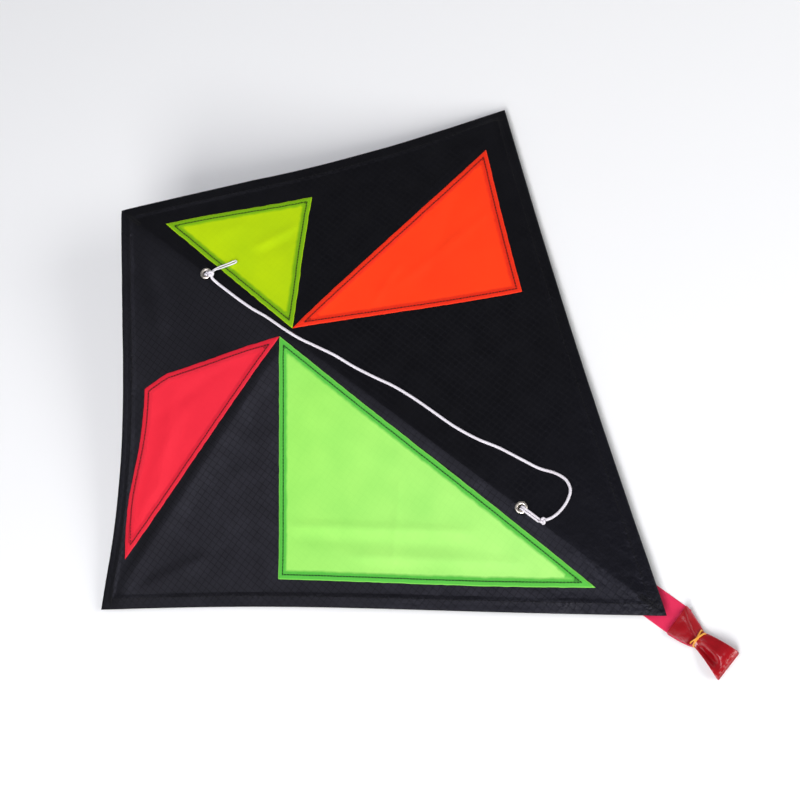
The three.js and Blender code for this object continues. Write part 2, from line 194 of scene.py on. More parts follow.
def make(name, points, faces, finishes, face_finish=None, flat=None, sharp=None):
    """A mesh object in the row frame. flat gives the cloth's own coordinates, for its weave."""
    mesh = bpy.data.meshes.new(name)
    mesh.from_pydata(np.asarray(points, float).tolist(), [], [tuple(map(int, f)) for f in faces])
    for finish in finishes:
        mesh.materials.append(finish)
    if face_finish is not None:
        mesh.polygons.foreach_set("material_index", np.asarray(face_finish, np.int32))
    mesh.polygons.foreach_set("use_smooth", [True] * len(mesh.polygons))
    if flat is not None:
        corner = np.zeros(len(mesh.loops), np.int32)
        mesh.loops.foreach_get("vertex_index", corner)
        layer = mesh.uv_layers.new(name="cloth")
        layer.data.foreach_set("uv", np.asarray(flat, np.float32)[corner].ravel())
    if sharp is not None:
        mesh.set_sharp_from_angle(angle=math.radians(sharp))
    mesh.update()
    piece = bpy.data.objects.new(name, mesh)
    bpy.context.scene.collection.objects.link(piece)
    return piece


def mark(piece, name, values):
    """Gives each point of a mesh a number that its material reads."""
    layer = piece.data.attributes.new(name, "FLOAT", "POINT")
    layer.data.foreach_set("value", np.asarray(values, np.float32))


def skin(points, normals, triangles, above, below, butted=None):
    """A closed skin round a surface: its top, its underside and a rounded rim between them, which is flat
    where the surface is butted against another. Returns the points, the faces, which surface point each
    came from and which faces are the underside."""
    count = len(points)
    above, below = np.full(count, above), np.full(count, below)
    top, low = points + normals * above[:, None], points - normals * below[:, None]
    sides = np.concatenate([triangles[:, [0, 1]], triangles[:, [1, 2]], triangles[:, [2, 0]]])
    have = {(int(a), int(b)) for a, b in sides}
    border = [(a, b) for a, b in have if (b, a) not in have]
    border.sort()
    outward = np.zeros((count, 3))
    for a, b in border:
        away = np.cross(points[b] - points[a], normals[a] + normals[b])
        away /= max(np.linalg.norm(away), 1e-12)
        outward[a] += away
        outward[b] += away
    rim_of = {v: 2 * count + i for i, v in enumerate(sorted({v for side in border for v in side}))}
    swell = (above + below) / 2 if butted is None else (above + below) / 2 * ~butted
    rim = [(top[v] + low[v]) / 2 + unit(outward[v]) * swell[v] for v in sorted(rim_of)]
    faces = [tuple(t) for t in triangles] + [tuple(t[::-1] + count) for t in triangles]
    for a, b in border:
        faces.append((b, a, rim_of[a], rim_of[b]))
        faces.append((rim_of[b], rim_of[a], a + count, b + count))
    source = np.concatenate([np.arange(count), np.arange(count), np.array(sorted(rim_of), int)])
    under = np.zeros(len(faces), bool)
    under[len(triangles):2 * len(triangles)] = True
    return np.vstack([top, low, np.array(rim).reshape(-1, 3)]), faces, source, under


def normals_of(points, triangles):
    """The way that a surface faces at each of its points."""
    normals = np.zeros_like(points)
    a, b, c = (points[triangles[:, i]] for i in range(3))
    for i in range(3):
        np.add.at(normals, triangles[:, i], np.cross(b - a, c - a))
    return unit(normals)


def grid_triangles(rows, columns):
    """Two triangles for each cell of a grid of points, counted row by row."""
    cells = np.arange((rows - 1) * columns).reshape(rows - 1, columns)[:, :-1].ravel()
    a, b, c, d = cells, cells + 1, cells + columns + 1, cells + columns
    return np.concatenate([np.stack([a, b, c], 1), np.stack([a, c, d], 1)])


def loft(name, rings, finishes, round_trip=False, sharp=None):
    """A closed skin through rings of points. Without round_trip its two ends are capped."""
    rings = np.asarray(rings, float)
    count, sides = rings.shape[:2]
    points, faces = rings.reshape(-1, 3), []
    for i in range(count if round_trip else count - 1):
        a, b = i * sides, (i + 1) % count * sides
        faces += [(a + k, a + (k + 1) % sides, b + (k + 1) % sides, b + k) for k in range(sides)]
    if not round_trip:
        faces += [tuple(range(sides))[::-1], tuple(range((count - 1) * sides, count * sides))]
    return make(name, points, faces, finishes, sharp=sharp)


def turn(name, profile, place, axis, finishes, closed=False, sides=48, sharp=40):
    """A turned piece from a profile of (radius, distance along the axis), placed in the kite's frame."""
    axis = unit(np.asarray(axis, float))
    helper = np.array([0.0, 1.0, 0.0]) if abs(axis[1]) < 0.9 else np.array([1.0, 0.0, 0.0])
    first = unit(np.cross(helper, axis))
    second = np.cross(axis, first)
    angles = np.arange(sides) * 2 * math.pi / sides
    spokes = np.cos(angles)[:, None] * first + np.sin(angles)[:, None] * second
    profile = np.asarray(profile, float)
    inner = profile if closed else profile[1:-1]
    rings = [to_world(np.asarray(place) + axis * h + spokes * r) for r, h in inner]
    if closed:
        return loft(name, rings, finishes, round_trip=True, sharp=sharp)
    ends = to_world([np.asarray(place) + axis * profile[end][1] for end in (0, -1)])
    points = np.vstack([*rings, ends])
    faces, last = [], len(rings) * sides
    for i in range(len(rings) - 1):
        a, b = i * sides, (i + 1) * sides
        faces += [(a + k, a + (k + 1) % sides, b + (k + 1) % sides, b + k) for k in range(sides)]
    faces += [((k + 1) % sides, k, last) for k in range(sides)]
    faces += [(last - sides + k, last - sides + (k + 1) % sides, last + 1) for k in range(sides)]
    return make(name, points, faces, finishes, sharp=sharp)


def outwards(piece):
    """Turns a closed piece's faces to point out of it."""
    mesh = piece.data
    mesh.calc_loop_triangles()
    points = np.array([v.co for v in mesh.vertices])
    corners = np.array([t.vertices for t in mesh.loop_triangles])
    a, b, c = (points[corners[:, i]] for i in range(3))
    if (a * np.cross(b, c)).sum() < 0:
        mesh.flip_normals()
    return piece


def stands_for(piece, slot, *nodes):
    """Turns a closed piece's faces outwards and hides the CAD nodes that it takes the place of. Its slot is
    not used.
    """
    outwards(piece)
    if nodes:
        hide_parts(*nodes)
    return piece


def finished(piece, body, slot, *nodes):
    """A closed piece that moves with one body."""
    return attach(stands_for(piece, slot, *nodes), body)


def frames(path, closed=False):
    """Two directions square to a path at each of its points, carried along it without twisting."""
    ahead = np.roll(path, -1, 0) - np.roll(path, 1, 0) if closed else np.gradient(path, axis=0)
    tangent = unit(ahead)
    helper = OUT if abs(tangent[0] @ OUT) < 0.9 else ACROSS
    first = [unit(np.cross(tangent[0], helper))]
    for t in tangent[1:]:
        first.append(unit(first[-1] - t * (first[-1] @ t)))
    first = np.array(first)
    if closed:
        end = unit(first[-1] - tangent[0] * (first[-1] @ tangent[0]))
        slip = math.atan2(np.cross(end, first[0]) @ tangent[0], end @ first[0])
        angle = (slip * np.arange(len(path)) / len(path))[:, None]
        first = first * np.cos(angle) + np.cross(tangent, first) * np.sin(angle)
    return first, np.cross(tangent, first)


BRAID_STRANDS = 8
BRAID_PITCH = 0.0024
BRAID_RELIEF = 0.11


def braided(name, path, half_width, half_height, finish, flat_on=None, closed=False, sides=32):
    """A braided cord along a path in the row frame. flat_on is the way that its flat side faces."""
    if flat_on is None:
        side, up = frames(path, closed)
    else:
        tangent = unit(np.gradient(path, axis=0))
        side = unit(np.cross(tangent, flat_on))
        up = np.cross(side, tangent)
    along = np.concatenate([[0], np.cumsum(np.linalg.norm(np.diff(path, axis=0), axis=1))])[:, None]
    angle = np.arange(sides)[None, :] * 2 * math.pi / sides
    turn_by = math.pi * along / BRAID_PITCH
    one = np.abs(np.sin(angle * BRAID_STRANDS / 2 + turn_by))
    other = np.abs(np.sin(angle * BRAID_STRANDS / 2 - turn_by))
    swell = (1 - BRAID_RELIEF * (1 - np.maximum(one, other)) * 3)[..., None]
    wide = np.cos(angle)[..., None] * side[:, None] * half_width
    high = np.sin(angle)[..., None] * up[:, None] * half_height
    rings = path[:, None] + (wide + high) * swell
    return outwards(loft(name, rings, [finish], round_trip=closed))


# ---- Materials ---------------------------------------------------------------


def rgb(red, green, blue):
    """A linear colour from 0-255 display values."""
    share = np.array([red, green, blue]) / 255
    linear = np.where(share <= 0.04045, share / 12.92, ((share + 0.055) / 1.055) ** 2.4)
    return (*linear.tolist(), 1.0)


class Finish:
    """A Principled material and the few node calls that the materials below share."""

    def __init__(self, name, **values):
        self.material = bpy.data.materials.new(name)
        self.material.use_nodes = True
        self.tree = self.material.node_tree
        self.shader = self.tree.nodes["Principled BSDF"]
        for socket, value in values.items():
            self.shader.inputs[socket.replace("_", " ")].default_value = value

    def node(self, kind, settings=None, **links):
        made = self.tree.nodes.new(kind)
        for key, value in (settings or {}).items():
            setattr(made, key, value)
        for key, value in links.items():
            socket = made.inputs[int(key[1:])] if key[0] == "i" and key[1:].isdigit() else made.inputs[key]
            self.put(value, socket)
        return made

    def put(self, value, socket):
        if isinstance(value, bpy.types.NodeSocket):
            self.tree.links.new(value, socket)
        else:
            socket.default_value = value

    def math(self, operation, a, b=0.0):
        return self.node("ShaderNodeMath", {"operation": operation}, i0=a, i1=b).outputs[0]

    def times(self, a, b):
        return self.math("MULTIPLY", a, b)

    def plus(self, a, b):
        return self.math("ADD", a, b)

    def cloth_xy(self):
        layer = self.node("ShaderNodeUVMap", {"uv_map": "cloth"})
        return self.node("ShaderNodeSeparateXYZ", i0=layer.outputs[0]).outputs

    def number(self, name):
        return self.node("ShaderNodeAttribute", {"attribute_name": name}).outputs["Fac"]

    def noise(self, scale, detail=3.0, stretch=None):
        vector = self.node("ShaderNodeTexCoord").outputs["Object"]
        if stretch is not None:
            vector = self.node("ShaderNodeMapping", i0=vector, i3=stretch).outputs[0]
        made = self.node("ShaderNodeTexNoise", Vector=vector, Scale=scale, Detail=detail)
        return made.outputs["Fac"]

    def cells(self, x, y, pitch, line):
        """1 on the lines of a square grid and 0 between them."""
        near = [self.math("LESS_THAN", self.math("PINGPONG", v, pitch / 2), line) for v in (x, y)]
        return self.math("MAXIMUM", *near)

    def weave(self, x, y, pitch):
        """The over and under of a plain weave, about 0 to 1."""
        waves = [self.math("SINE", self.times(v, 2 * math.pi / pitch)) for v in (x, y)]
        return self.times(*waves)

    def ramp(self, value, low, high, to_low, to_high):
        made = self.node("ShaderNodeMapRange", i0=value, i1=low, i2=high, i3=to_low, i4=to_high)
        return made.outputs[0]

    def mix(self, share, a, b):
        made = self.node("ShaderNodeMix", {"data_type": "RGBA"})
        self.put(share, made.inputs[0])
        self.put(a, made.inputs[6])
        self.put(b, made.inputs[7])
        return made.outputs[2]

    def bump(self, height, distance, strength=1.0, under=None):
        links = {"Height": height, "Distance": distance, "Strength": strength}
        if under is not None:
            links["Normal"] = under
        return self.node("ShaderNodeBump", **links).outputs[0]

    def set(self, **links):
        for socket, value in links.items():
            self.put(value, self.shader.inputs[socket.replace("_", " ")])
        return self.material


RIPSTOP = 0.005
RIPSTOP_LINE = 0.00022
WEAVE = 0.0005


def ripstop(finish, x, y):
    """Height of a ripstop nylon: a fine plain weave with doubled threads in a square grid."""
    grid = finish.cells(x, y, RIPSTOP, RIPSTOP_LINE)
    fine = finish.weave(x, y, WEAVE)
    return grid, finish.plus(grid, finish.times(fine, 0.25))


def puckers(finish, at):
    """1 beside a row of stitches that lies at this distance from the cloth's edge, and 0 away from it."""
    away = finish.math("ABSOLUTE", finish.math("SUBTRACT", finish.number("edge"), at))
    return finish.ramp(away, 0.0, 0.0035, 1.0, 0.0)


def black_cloth():
    finish = Finish("black ripstop nylon", Specular_IOR_Level=0.23, Specular_Tint=(0.86, 0.85, 1.0, 1.0))
    x, y, _ = finish.cloth_xy()
    grid, height = ripstop(finish, x, y)
    cloudy = finish.noise(28.0, 4.0)
    shade = finish.mix(cloudy, rgb(5, 5, 7), rgb(10, 10, 13))
    # Painted sheen: towards the tail the cloth is painted lighter and bluer, as if its wrinkles caught the
    # light there. The same share sets how strongly the cloth crumples there.
    tail_crumple_and_painted_sheen = finish.ramp(y, 0.03, 0.22, 1.0, 0.0)
    shade = finish.mix(finish.times(tail_crumple_and_painted_sheen, 0.5), shade, rgb(20, 20, 28))
    # Painted shade on the ripstop grid's threads, strongest towards the tail, where they break the sheen.
    painted_grid_shade = finish.ramp(y, 0.03, 0.30, 0.55, 0.15)
    shade = finish.mix(finish.times(grid, painted_grid_shade), shade, rgb(2, 2, 3))
    crumple = finish.bump(finish.noise(90.0, 5.0), 0.0006, 0.35)
    crumple = finish.bump(finish.times(finish.noise(150.0, 4.0), tail_crumple_and_painted_sheen), 0.0022, 0.6, crumple)
    gathered = finish.ramp(y, 0.010, 0.050, 1.0, 0.0)
    crumple = finish.bump(finish.times(finish.noise(260.0, 3.0), gathered), 0.0020, 0.8, crumple)
    drawn = finish.times(finish.noise(420.0, 2.0), puckers(finish, HEM_STITCH))
    crumple = finish.bump(drawn, 0.0012, 0.6, crumple)
    bumped = finish.bump(height, 0.00005, 0.6, crumple)
    rough = finish.ramp(finish.noise(60.0, 3.0), 0.3, 0.7, 0.36, 0.48)
    rough = finish.plus(rough, finish.times(grid, 0.4))
    return finish.set(Base_Color=shade, Roughness=rough, Normal=bumped)


def bright_cloth(name, inside, border, stitch_groove_shade, low_end=None):
    """Thin bright nylon, painted darker along its seam, where the black cloth behind it keeps light from
    shining through.
    """
    finish = Finish(name, Roughness=0.55, Specular_IOR_Level=0.16)
    x, y, _ = finish.cloth_xy()
    edge = finish.number("edge")
    grid, height = ripstop(finish, x, y)
    middle = inside
    if low_end is not None:
        middle = finish.mix(finish.ramp(y, 0.12, 0.34, 0.0, 1.0), low_end, inside)
    cloudy = finish.ramp(finish.noise(30.0, 4.0), 0.3, 0.75, 0.0, 0.22)
    middle = finish.mix(cloudy, middle, border)
    uneven = finish.ramp(finish.noise(140.0), 0.2, 0.8, -0.0006, 0.0006)
    # Painted shade along the seam, where the black cloth behind keeps light from coming through the thin
    # nylon.
    behind = finish.ramp(finish.plus(edge, uneven), SEAM - 0.0014, SEAM + 0.0008, 1.0, 0.0)
    shade = finish.mix(behind, middle, border)
    shade = finish.mix(finish.times(grid, 0.06), shade, border)
    # Painted shade in the groove along the row of stitches.
    sewn = finish.math("ABSOLUTE", finish.math("SUBTRACT", edge, SEAM_STITCH))
    shade = finish.mix(finish.ramp(sewn, 0.0002, 0.0011, 0.6, 0.0), shade, stitch_groove_shade)
    # The cut edge is painted paler: loose fibres there, and a painted highlight along it.
    edge_fibres_and_highlight = finish.ramp(edge, 0.0002, 0.0009, 0.45, 0.0)
    shade = finish.mix(edge_fibres_and_highlight, shade, inside)
    drawn = puckers(finish, SEAM_STITCH)
    crumple = finish.bump(finish.noise(110.0, 4.0), 0.0005, 0.3)
    crumple = finish.bump(finish.times(finish.noise(450.0, 2.0), drawn), 0.0012, 0.7, crumple)
    return finish.set(Base_Color=shade, Normal=finish.bump(height, 0.00003, 0.6, crumple))


def thread(name, colour):
    finish = Finish(name, Roughness=0.8, Specular_IOR_Level=0.2)
    twist = finish.noise(2600.0, 2.0)
    shade = finish.mix(twist, colour, tuple(min(1.0, 2.2 * c + 0.004) for c in colour[:3]) + (1.0,))
    return finish.set(Base_Color=shade, Normal=finish.bump(twist, 0.0001, 0.6))


def white_cord():
    finish = Finish("white braided polyester", Roughness=0.68, Sheen_Weight=0.25, Specular_IOR_Level=0.35)
    fibres = finish.noise(1800.0, 4.0)
    soiled = finish.ramp(finish.noise(45.0, 3.0), 0.42, 0.72, 0.0, 0.5)
    shade = finish.mix(fibres, rgb(206, 200, 208), rgb(238, 234, 240))
    shade = finish.mix(soiled, shade, rgb(202, 192, 198))
    return finish.set(Base_Color=shade, Normal=finish.bump(fibres, 0.00015, 0.8))


def nickel():
    finish = Finish("plated eyelet", Metallic=1.0)
    worn = finish.noise(900.0, 4.0)
    rough = finish.ramp(worn, 0.3, 0.75, 0.22, 0.42)
    shade = finish.mix(finish.noise(260.0, 3.0), rgb(240, 234, 226), rgb(220, 208, 190))
    fine = finish.noise(5200.0, 3.0, stretch=(1.0, 6.0, 1.0))
    return finish.set(Base_Color=shade, Roughness=rough, Normal=finish.bump(fine, 0.00003, 0.5))


def glass_fibre():
    finish = Finish("pultruded glass fibre rod", Coat_Weight=0.3, Coat_Roughness=0.2)
    streaks = finish.noise(700.0, 3.0, stretch=(1.0, 0.02, 1.0))
    shade = finish.mix(streaks, rgb(20, 20, 22), rgb(46, 46, 48))
    return finish.set(Base_Color=shade, Roughness=finish.ramp(streaks, 0.3, 0.7, 0.26, 0.42),
                      Normal=finish.bump(streaks, 0.00006, 0.7))


def vinyl():
    finish = Finish("soft black vinyl", Specular_IOR_Level=0.45)
    grain = finish.noise(1500.0, 4.0)
    dust = finish.ramp(finish.noise(160.0, 4.0), 0.5, 0.8, 0.0, 0.35)
    shade = finish.mix(dust, rgb(19, 19, 20), rgb(52, 52, 54))
    return finish.set(Base_Color=shade, Roughness=finish.ramp(grain, 0.3, 0.7, 0.42, 0.58),
                      Normal=finish.bump(grain, 0.00008, 0.6))


def webbing():
    """Twill tape, its ribs running across the pocket."""
    finish = Finish("black pocket tape", Roughness=0.82, Sheen_Weight=0.2)
    x, y, _ = finish.cloth_xy()
    ribs = finish.math("SINE", finish.times(y, 2 * math.pi / 0.0011))
    cross = finish.math("SINE", finish.times(x, 2 * math.pi / 0.0008))
    height = finish.plus(finish.math("ABSOLUTE", ribs), finish.times(cross, 0.4))
    shade = finish.mix(finish.math("ABSOLUTE", ribs), rgb(12, 12, 13), rgb(34, 34, 37))
    return finish.set(Base_Color=shade, Normal=finish.bump(height, 0.00018, 0.9))


def ribbon_gloss():
    finish = Finish("glossy red ribbon", Specular_IOR_Level=0.45, Coat_Weight=0.35,
                    Coat_Roughness=0.05)
    cloudy = finish.noise(120.0, 3.0)
    shade = finish.mix(cloudy, rgb(126, 7, 13), rgb(174, 15, 30))
    drawn = finish.bump(finish.noise(70.0, 2.0, stretch=(1.0, 0.35, 1.0)), 0.0030, 0.5)
    crinkle = finish.bump(finish.noise(240.0, 3.0), 0.0006, 0.35, drawn)
    return finish.set(Base_Color=shade, Roughness=finish.ramp(cloudy, 0.3, 0.7, 0.12, 0.24), Normal=crinkle)


def ribbon_matte():
    finish = Finish("matte crimson ribbon back", Roughness=0.62, Specular_IOR_Level=0.3, Sheen_Weight=0.1)
    x, y, _ = finish.cloth_xy()
    fine = finish.weave(x, y, 0.0004)
    shade = finish.mix(finish.noise(90.0, 3.0), rgb(218, 32, 78), rgb(232, 42, 90))
    return finish.set(Base_Color=shade, Normal=finish.bump(fine, 0.00004, 0.7))


def rubber():
    finish = Finish("amber rubber", Roughness=0.42, Subsurface_Weight=0.15, Specular_IOR_Level=0.5)
    shade = finish.mix(finish.noise(500.0, 3.0), rgb(214, 128, 30), rgb(240, 172, 62))
    return finish.set(Base_Color=shade, Normal=finish.bump(finish.noise(2200.0, 3.0), 0.00006, 0.6))


def floor_finish():
    finish = Finish("pale floor", Roughness=0.8, Specular_IOR_Level=0.2)
    shade = finish.mix(finish.noise(2.0, 2.0), rgb(243, 243, 243), rgb(246, 246, 246))
    return finish.set(Base_Color=shade)


BLACK = black_cloth()
LIME_CLOTH = bright_cloth("lime nylon", rgb(182, 212, 4), rgb(118, 170, 14), rgb(46, 78, 8))
ORANGE_CLOTH = bright_cloth("orange nylon", rgb(255, 62, 20), rgb(228, 44, 20), rgb(120, 18, 10))
GREEN_CLOTH = bright_cloth("green nylon", rgb(150, 219, 92), rgb(80, 176, 60), rgb(22, 84, 22),
                           rgb(165, 226, 114))
RED_CLOTH = bright_cloth("red nylon", rgb(224, 35, 54), rgb(206, 28, 48), rgb(100, 8, 18))
BLACK_THREAD = thread("black thread", rgb(9, 9, 10))
CORD = white_cord()
NICKEL = nickel()
ROD = glass_fibre()
VINYL = vinyl()
TAPE = webbing()
GLOSS = ribbon_gloss()
MATTE = ribbon_matte()
AMBER = rubber()

# ---- Camera ------------------------------------------------------------------

CAMERA_PLACE = (-0.1211, -0.7339, 1.3137)
CAMERA_TURN = (23.714, 20.436, -48.568)
CAMERA_LENS = 81.0


def add_camera():
    data = bpy.data.cameras.new("camera")
    data.lens, data.sensor_width = CAMERA_LENS, 36.0
    data.clip_start, data.clip_end = 0.01, 50.0
    camera = bpy.data.objects.new("camera", data)
    camera.location = CAMERA_PLACE
    camera.rotation_euler = [math.radians(a) for a in CAMERA_TURN]
    bpy.context.scene.collection.objects.link(camera)
    bpy.context.scene.camera = camera


add_camera()

# ---- The cloth's shape -------------------------------------------------------

# Creases stand or sink by their height along a line from one point to another, fading at its ends.
SAIL_CREASES = [
    # x0, y0, x1, y1, half width, height
    (-0.270, 0.392, -0.190, 0.345, 0.007, 0.0009),
    (-0.262, 0.405, -0.170, 0.425, 0.006, 0.0007),
    (-0.235, 0.330, -0.150, 0.200, 0.012, -0.0010),
    (-0.150, 0.190, -0.060, 0.075, 0.009, 0.0009),
    (-0.012, 0.020, -0.060, 0.120, 0.006, 0.0008),
    (-0.010, 0.570, -0.060, 0.500, 0.008, 0.0009),
    (-0.030, 0.560, -0.050, 0.440, 0.012, -0.0008),
    (0.014, 0.020, 0.060, 0.140, 0.006, 0.0007),
    (0.265, 0.398, 0.190, 0.420, 0.007, 0.0007),
    (0.262, 0.392, 0.180, 0.350, 0.008, 0.0008),
    (0.160, 0.250, 0.070, 0.130, 0.010, -0.0008),
    (0.010, 0.300, 0.120, 0.240, 0.012, 0.0006),
    (0.020, 0.575, 0.100, 0.520, 0.006, 0.0006),
    (-0.004, 0.010, -0.022, 0.085, 0.0030, 0.0009),
    (-0.009, 0.014, -0.050, 0.070, 0.0028, -0.0008),
    (-0.008, 0.022, -0.016, 0.060, 0.0022, 0.0006),
    (0.005, 0.012, 0.024, 0.070, 0.0028, 0.0006),
    (0.010, 0.020, 0.022, 0.110, 0.0040, -0.0006),
    (0.070, 0.428, 0.180, 0.404, 0.0080, 0.0007),
]
BILLOW = {"upper": 0.0018, "lower": 0.0032}


def along_line(x, y, x0, y0, x1, y1):
    """How far along a line each point is, as a share of it, and how far from it."""
    run = np.array([x1 - x0, y1 - y0])
    length = np.linalg.norm(run)
    share = ((x - x0) * run[0] + (y - y0) * run[1]) / length**2
    away = ((x - x0) * run[1] - (y - y0) * run[0]) / length
    return share, away


def creases(x, y, lines):
    total = np.zeros_like(x)
    for x0, y0, x1, y1, width, height in lines:
        share, away = along_line(x, y, x0, y0, x1, y1)
        fade = smooth(share * 4 + 0.5) * smooth((1 - share) * 4 + 0.5)
        total += height * fade * np.exp(-((away / width) ** 2))
    return total


def billow(x, y):
    """The cloth sags between the spine, the spar and the hem of each quarter."""
    tip = np.abs(x) / WING_SPAN
    below = y < CROSS_Y
    end = np.where(below, (CROSS_Y - y) / CROSS_Y, (y - CROSS_Y) / (SPINE_LINE - CROSS_Y))
    centre = 1 - tip - end
    depth = np.where(below, BILLOW["lower"], BILLOW["upper"])
    return -27 * depth * np.clip(tip, 0, 1) * np.clip(end, 0, 1) * np.clip(centre, 0, 1)


def relief(x, y):
    """How far the cloth stands out of the smooth shape of its wing."""
    out = np.abs(x)
    off_spine = smooth((out - 0.004) / 0.03)
    beside_spar = np.exp(-(((y - CROSS_Y + 0.004) / 0.008) ** 2))
    over_spar = off_spine * smooth((0.275 - out) / 0.02) * beside_spar
    ripple = 0.00035 * noise(x / 0.045 + 3, y / 0.06, 1) + 0.00014 * noise(x / 0.016, y / 0.021, 2)
    pocket_run = smooth((y - 0.006) / 0.01) * smooth((0.062 - y) / 0.02)
    over_pocket = 0.0009 * np.exp(-((x / 0.0055) ** 2)) * pocket_run
    bunched = np.exp(-((y / 0.045) ** 2)) * smooth((y - 0.004) / 0.008) * smooth(out / 0.004)
    tucks = 0.0007 * bunched * noise(x / 0.0075 + y / 0.03, y / 0.016 - x / 0.02, 4)
    drape = off_spine * (ripple + creases(x, y, SAIL_CREASES))
    return billow(x, y) + drape + 0.0012 * over_spar + over_pocket + tucks


def cloth_surface(flat, lift=0.0):
    """Points of the flat cloth in the kite's frame, raised by lift, and the way it faces there."""
    flat = np.asarray(flat, float).reshape(-1, 2)
    x, y = flat[:, 0] * math.cos(DIHEDRAL), flat[:, 1]
    bend = np.hypot(x, RIDGE_ROUND)
    normal = unit(np.stack([FALL * x / bend, np.zeros_like(x), np.ones_like(x)], 1))
    ground = np.stack([x, y, -FALL * (bend - RIDGE_ROUND)], 1)
    return ground + normal * (relief(x, y) + lift)[:, None], normal


def bends_with_sail(piece):
    """Bakes the placement of cloth, and of what is sewn to it, into its mesh."""
    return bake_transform(piece)


def edge_points(start, end, draw, sign, step=0.004):
    """One edge of the sail, drawn in towards the middle by the pull of its hem."""
    (x0, y0), (x1, y1) = start, end
    length = math.hypot(x1 - x0, y1 - y0)
    points = []
    for i in range(round(length / step)):
        t = i / round(length / step)
        inward = draw[0] * math.sin(math.pi * t) + draw[1] * math.sin(2 * math.pi * t)
        points.append((x0 + (x1 - x0) * t + sign * (y1 - y0) / length * inward,
                       y0 + (y1 - y0) * t - sign * (x1 - x0) / length * inward))
    return points


def outer_edges(sign):
    """The sail's two outer edges on one side, from the nose by the wing tip to the tail tip."""
    upper = edge_points(NOSE, TIP[sign], EDGE_DRAW["upper"][sign], sign)
    return [*upper, *edge_points(TIP[sign], TAIL, EDGE_DRAW["lower"][sign], sign), TAIL]


def spine_side(sign, step=0.003, arc_steps=8):
    """The line over the spine from tail to nose, with half of each eyelet hole cut into this side."""
    points, y = [], step
    for eyelet in (EYELETS["lower"], EYELETS["upper"]):
        stretch = np.arange(y, eyelet - EYELET_CLOTH_HOLE - step / 2, step)
        points += [(0.0, v) for v in stretch]
        for i in range(arc_steps + 1):
            angle = math.pi * i / arc_steps
            points.append((sign * EYELET_CLOTH_HOLE * math.sin(angle),
                           eyelet - EYELET_CLOTH_HOLE * math.cos(angle)))
        y = eyelet + EYELET_CLOTH_HOLE + step
    points += [(0.0, v) for v in np.arange(y, SPINE_LINE - step / 2, step)]
    return points


def area_of(polygon):
    x, y = np.asarray(polygon, float).T
    return float(np.sum(x * np.roll(y, -1) - np.roll(x, -1) * y)) / 2


def inset(polygon, by):
    """A polygon with each side moved inwards."""
    points = np.asarray(polygon, float)
    sense = 1 if area_of(points) > 0 else -1
    along = unit(np.roll(points, -1, 0) - points)
    inward = np.stack([-along[:, 1], along[:, 0]], 1) * sense * by
    out = []
    for i in range(len(points)):
        a, u = points[i - 1] + inward[i - 1], along[i - 1]
        b, v = points[i] + inward[i], along[i]
        cross = u[0] * v[1] - u[1] * v[0]
        gap = b - a
        out.append(a + u * (gap[0] * v[1] - gap[1] * v[0]) / cross if abs(cross) > 1e-6 else b)
    return np.array(out)


def within(points, polygon):
    """Which points lie inside a polygon."""
    inside = np.zeros(len(points), bool)
    corners = np.asarray(polygon, float)
    for (x0, y0), (x1, y1) in zip(corners, np.roll(corners, -1, 0)):
        if y0 == y1:
            continue
        crosses = (points[:, 1] < y0) != (points[:, 1] < y1)
        inside ^= crosses & (points[:, 0] < (x1 - x0) * (points[:, 1] - y0) / (y1 - y0) + x0)
    return inside


def distance_to(points, line, closed=True):
    """How far each point is from a line through some points."""
    line = np.asarray(line, float)
    ends = np.roll(line, -1, 0) if closed else line[1:]
    best = np.full(len(points), np.inf)
    for a, b in zip(line, ends):
        run = b - a
        share = np.clip((points - a) @ run / max(run @ run, 1e-12), 0, 1)
        best = np.minimum(best, np.linalg.norm(points - a - share[:, None] * run, axis=1))
    return best


def ring(polygon, step):
    """A closed outline in even steps, its corners kept."""
    points = np.asarray(polygon, float)
    sides = [evenly([a, b], step)[:-1] for a, b in zip(points, np.roll(points, -1, 0))]
    return np.vstack(sides)


def bowed(polygon, bows, step):
    """A closed outline in even steps, each side bent as its bow says, outwards."""
    corners = np.asarray(polygon, float)
    sense = 1 if area_of(corners) > 0 else -1
    out = []
    for a, b, (bow, wave) in zip(corners, np.roll(corners, -1, 0), bows):
        side = evenly([a, b], step)[:-1]
        t = np.arange(len(side)) / len(side)
        along = unit(b - a)
        outward = np.array([along[1], -along[0]]) * sense
        bend = bow * np.sin(math.pi * t) + wave * np.sin(2 * math.pi * t)
        out.append(side + outward * bend[:, None])
    return np.vstack(out)


def wavering(outline, corners, amount, seed):
    """A cut edge that wanders a little, in short steps, and is true at its corners."""
    out = []
    for i, p in enumerate(outline):
        corner = min(np.linalg.norm(p - np.asarray(c)) for c in corners)
        wander = noise(np.array([i * 0.55]), np.array([seed * 7.3]), seed)[0]
        shift = amount * smooth(corner / 0.01) * wander
        way = unit(outline[(i + 1) % len(outline)] - outline[i - 1])
        out.append(p + np.array([-way[1], way[0]]) * shift)
    return np.array(out)


def inside_cloth(points, outline, holes):
    keep = within(points, outline)
    for hole in holes:
        keep &= ~within(points, hole)
    return keep


def filling_points(outline, holes, fixed, spacing):
    """A triangular grid of points over the cloth, kept off the points that are already fixed."""
    low, high = fixed.min(0), fixed.max(0)
    rows = np.arange(low[1], high[1], spacing * 0.866)
    columns = np.arange(low[0], high[0], spacing)
    points = np.array([(x + (i % 2) * spacing / 2, y) for i, y in enumerate(rows) for x in columns])
    points = points[inside_cloth(points, outline, holes)]
    far = np.ones(len(points), bool)
    for start in range(0, len(points), 2000):
        block = points[start:start + 2000]
        gaps = np.linalg.norm(block[:, None] - fixed[None], axis=2).min(1)
        far[start:start + 2000] = gaps > spacing * 0.55
    return points[far]


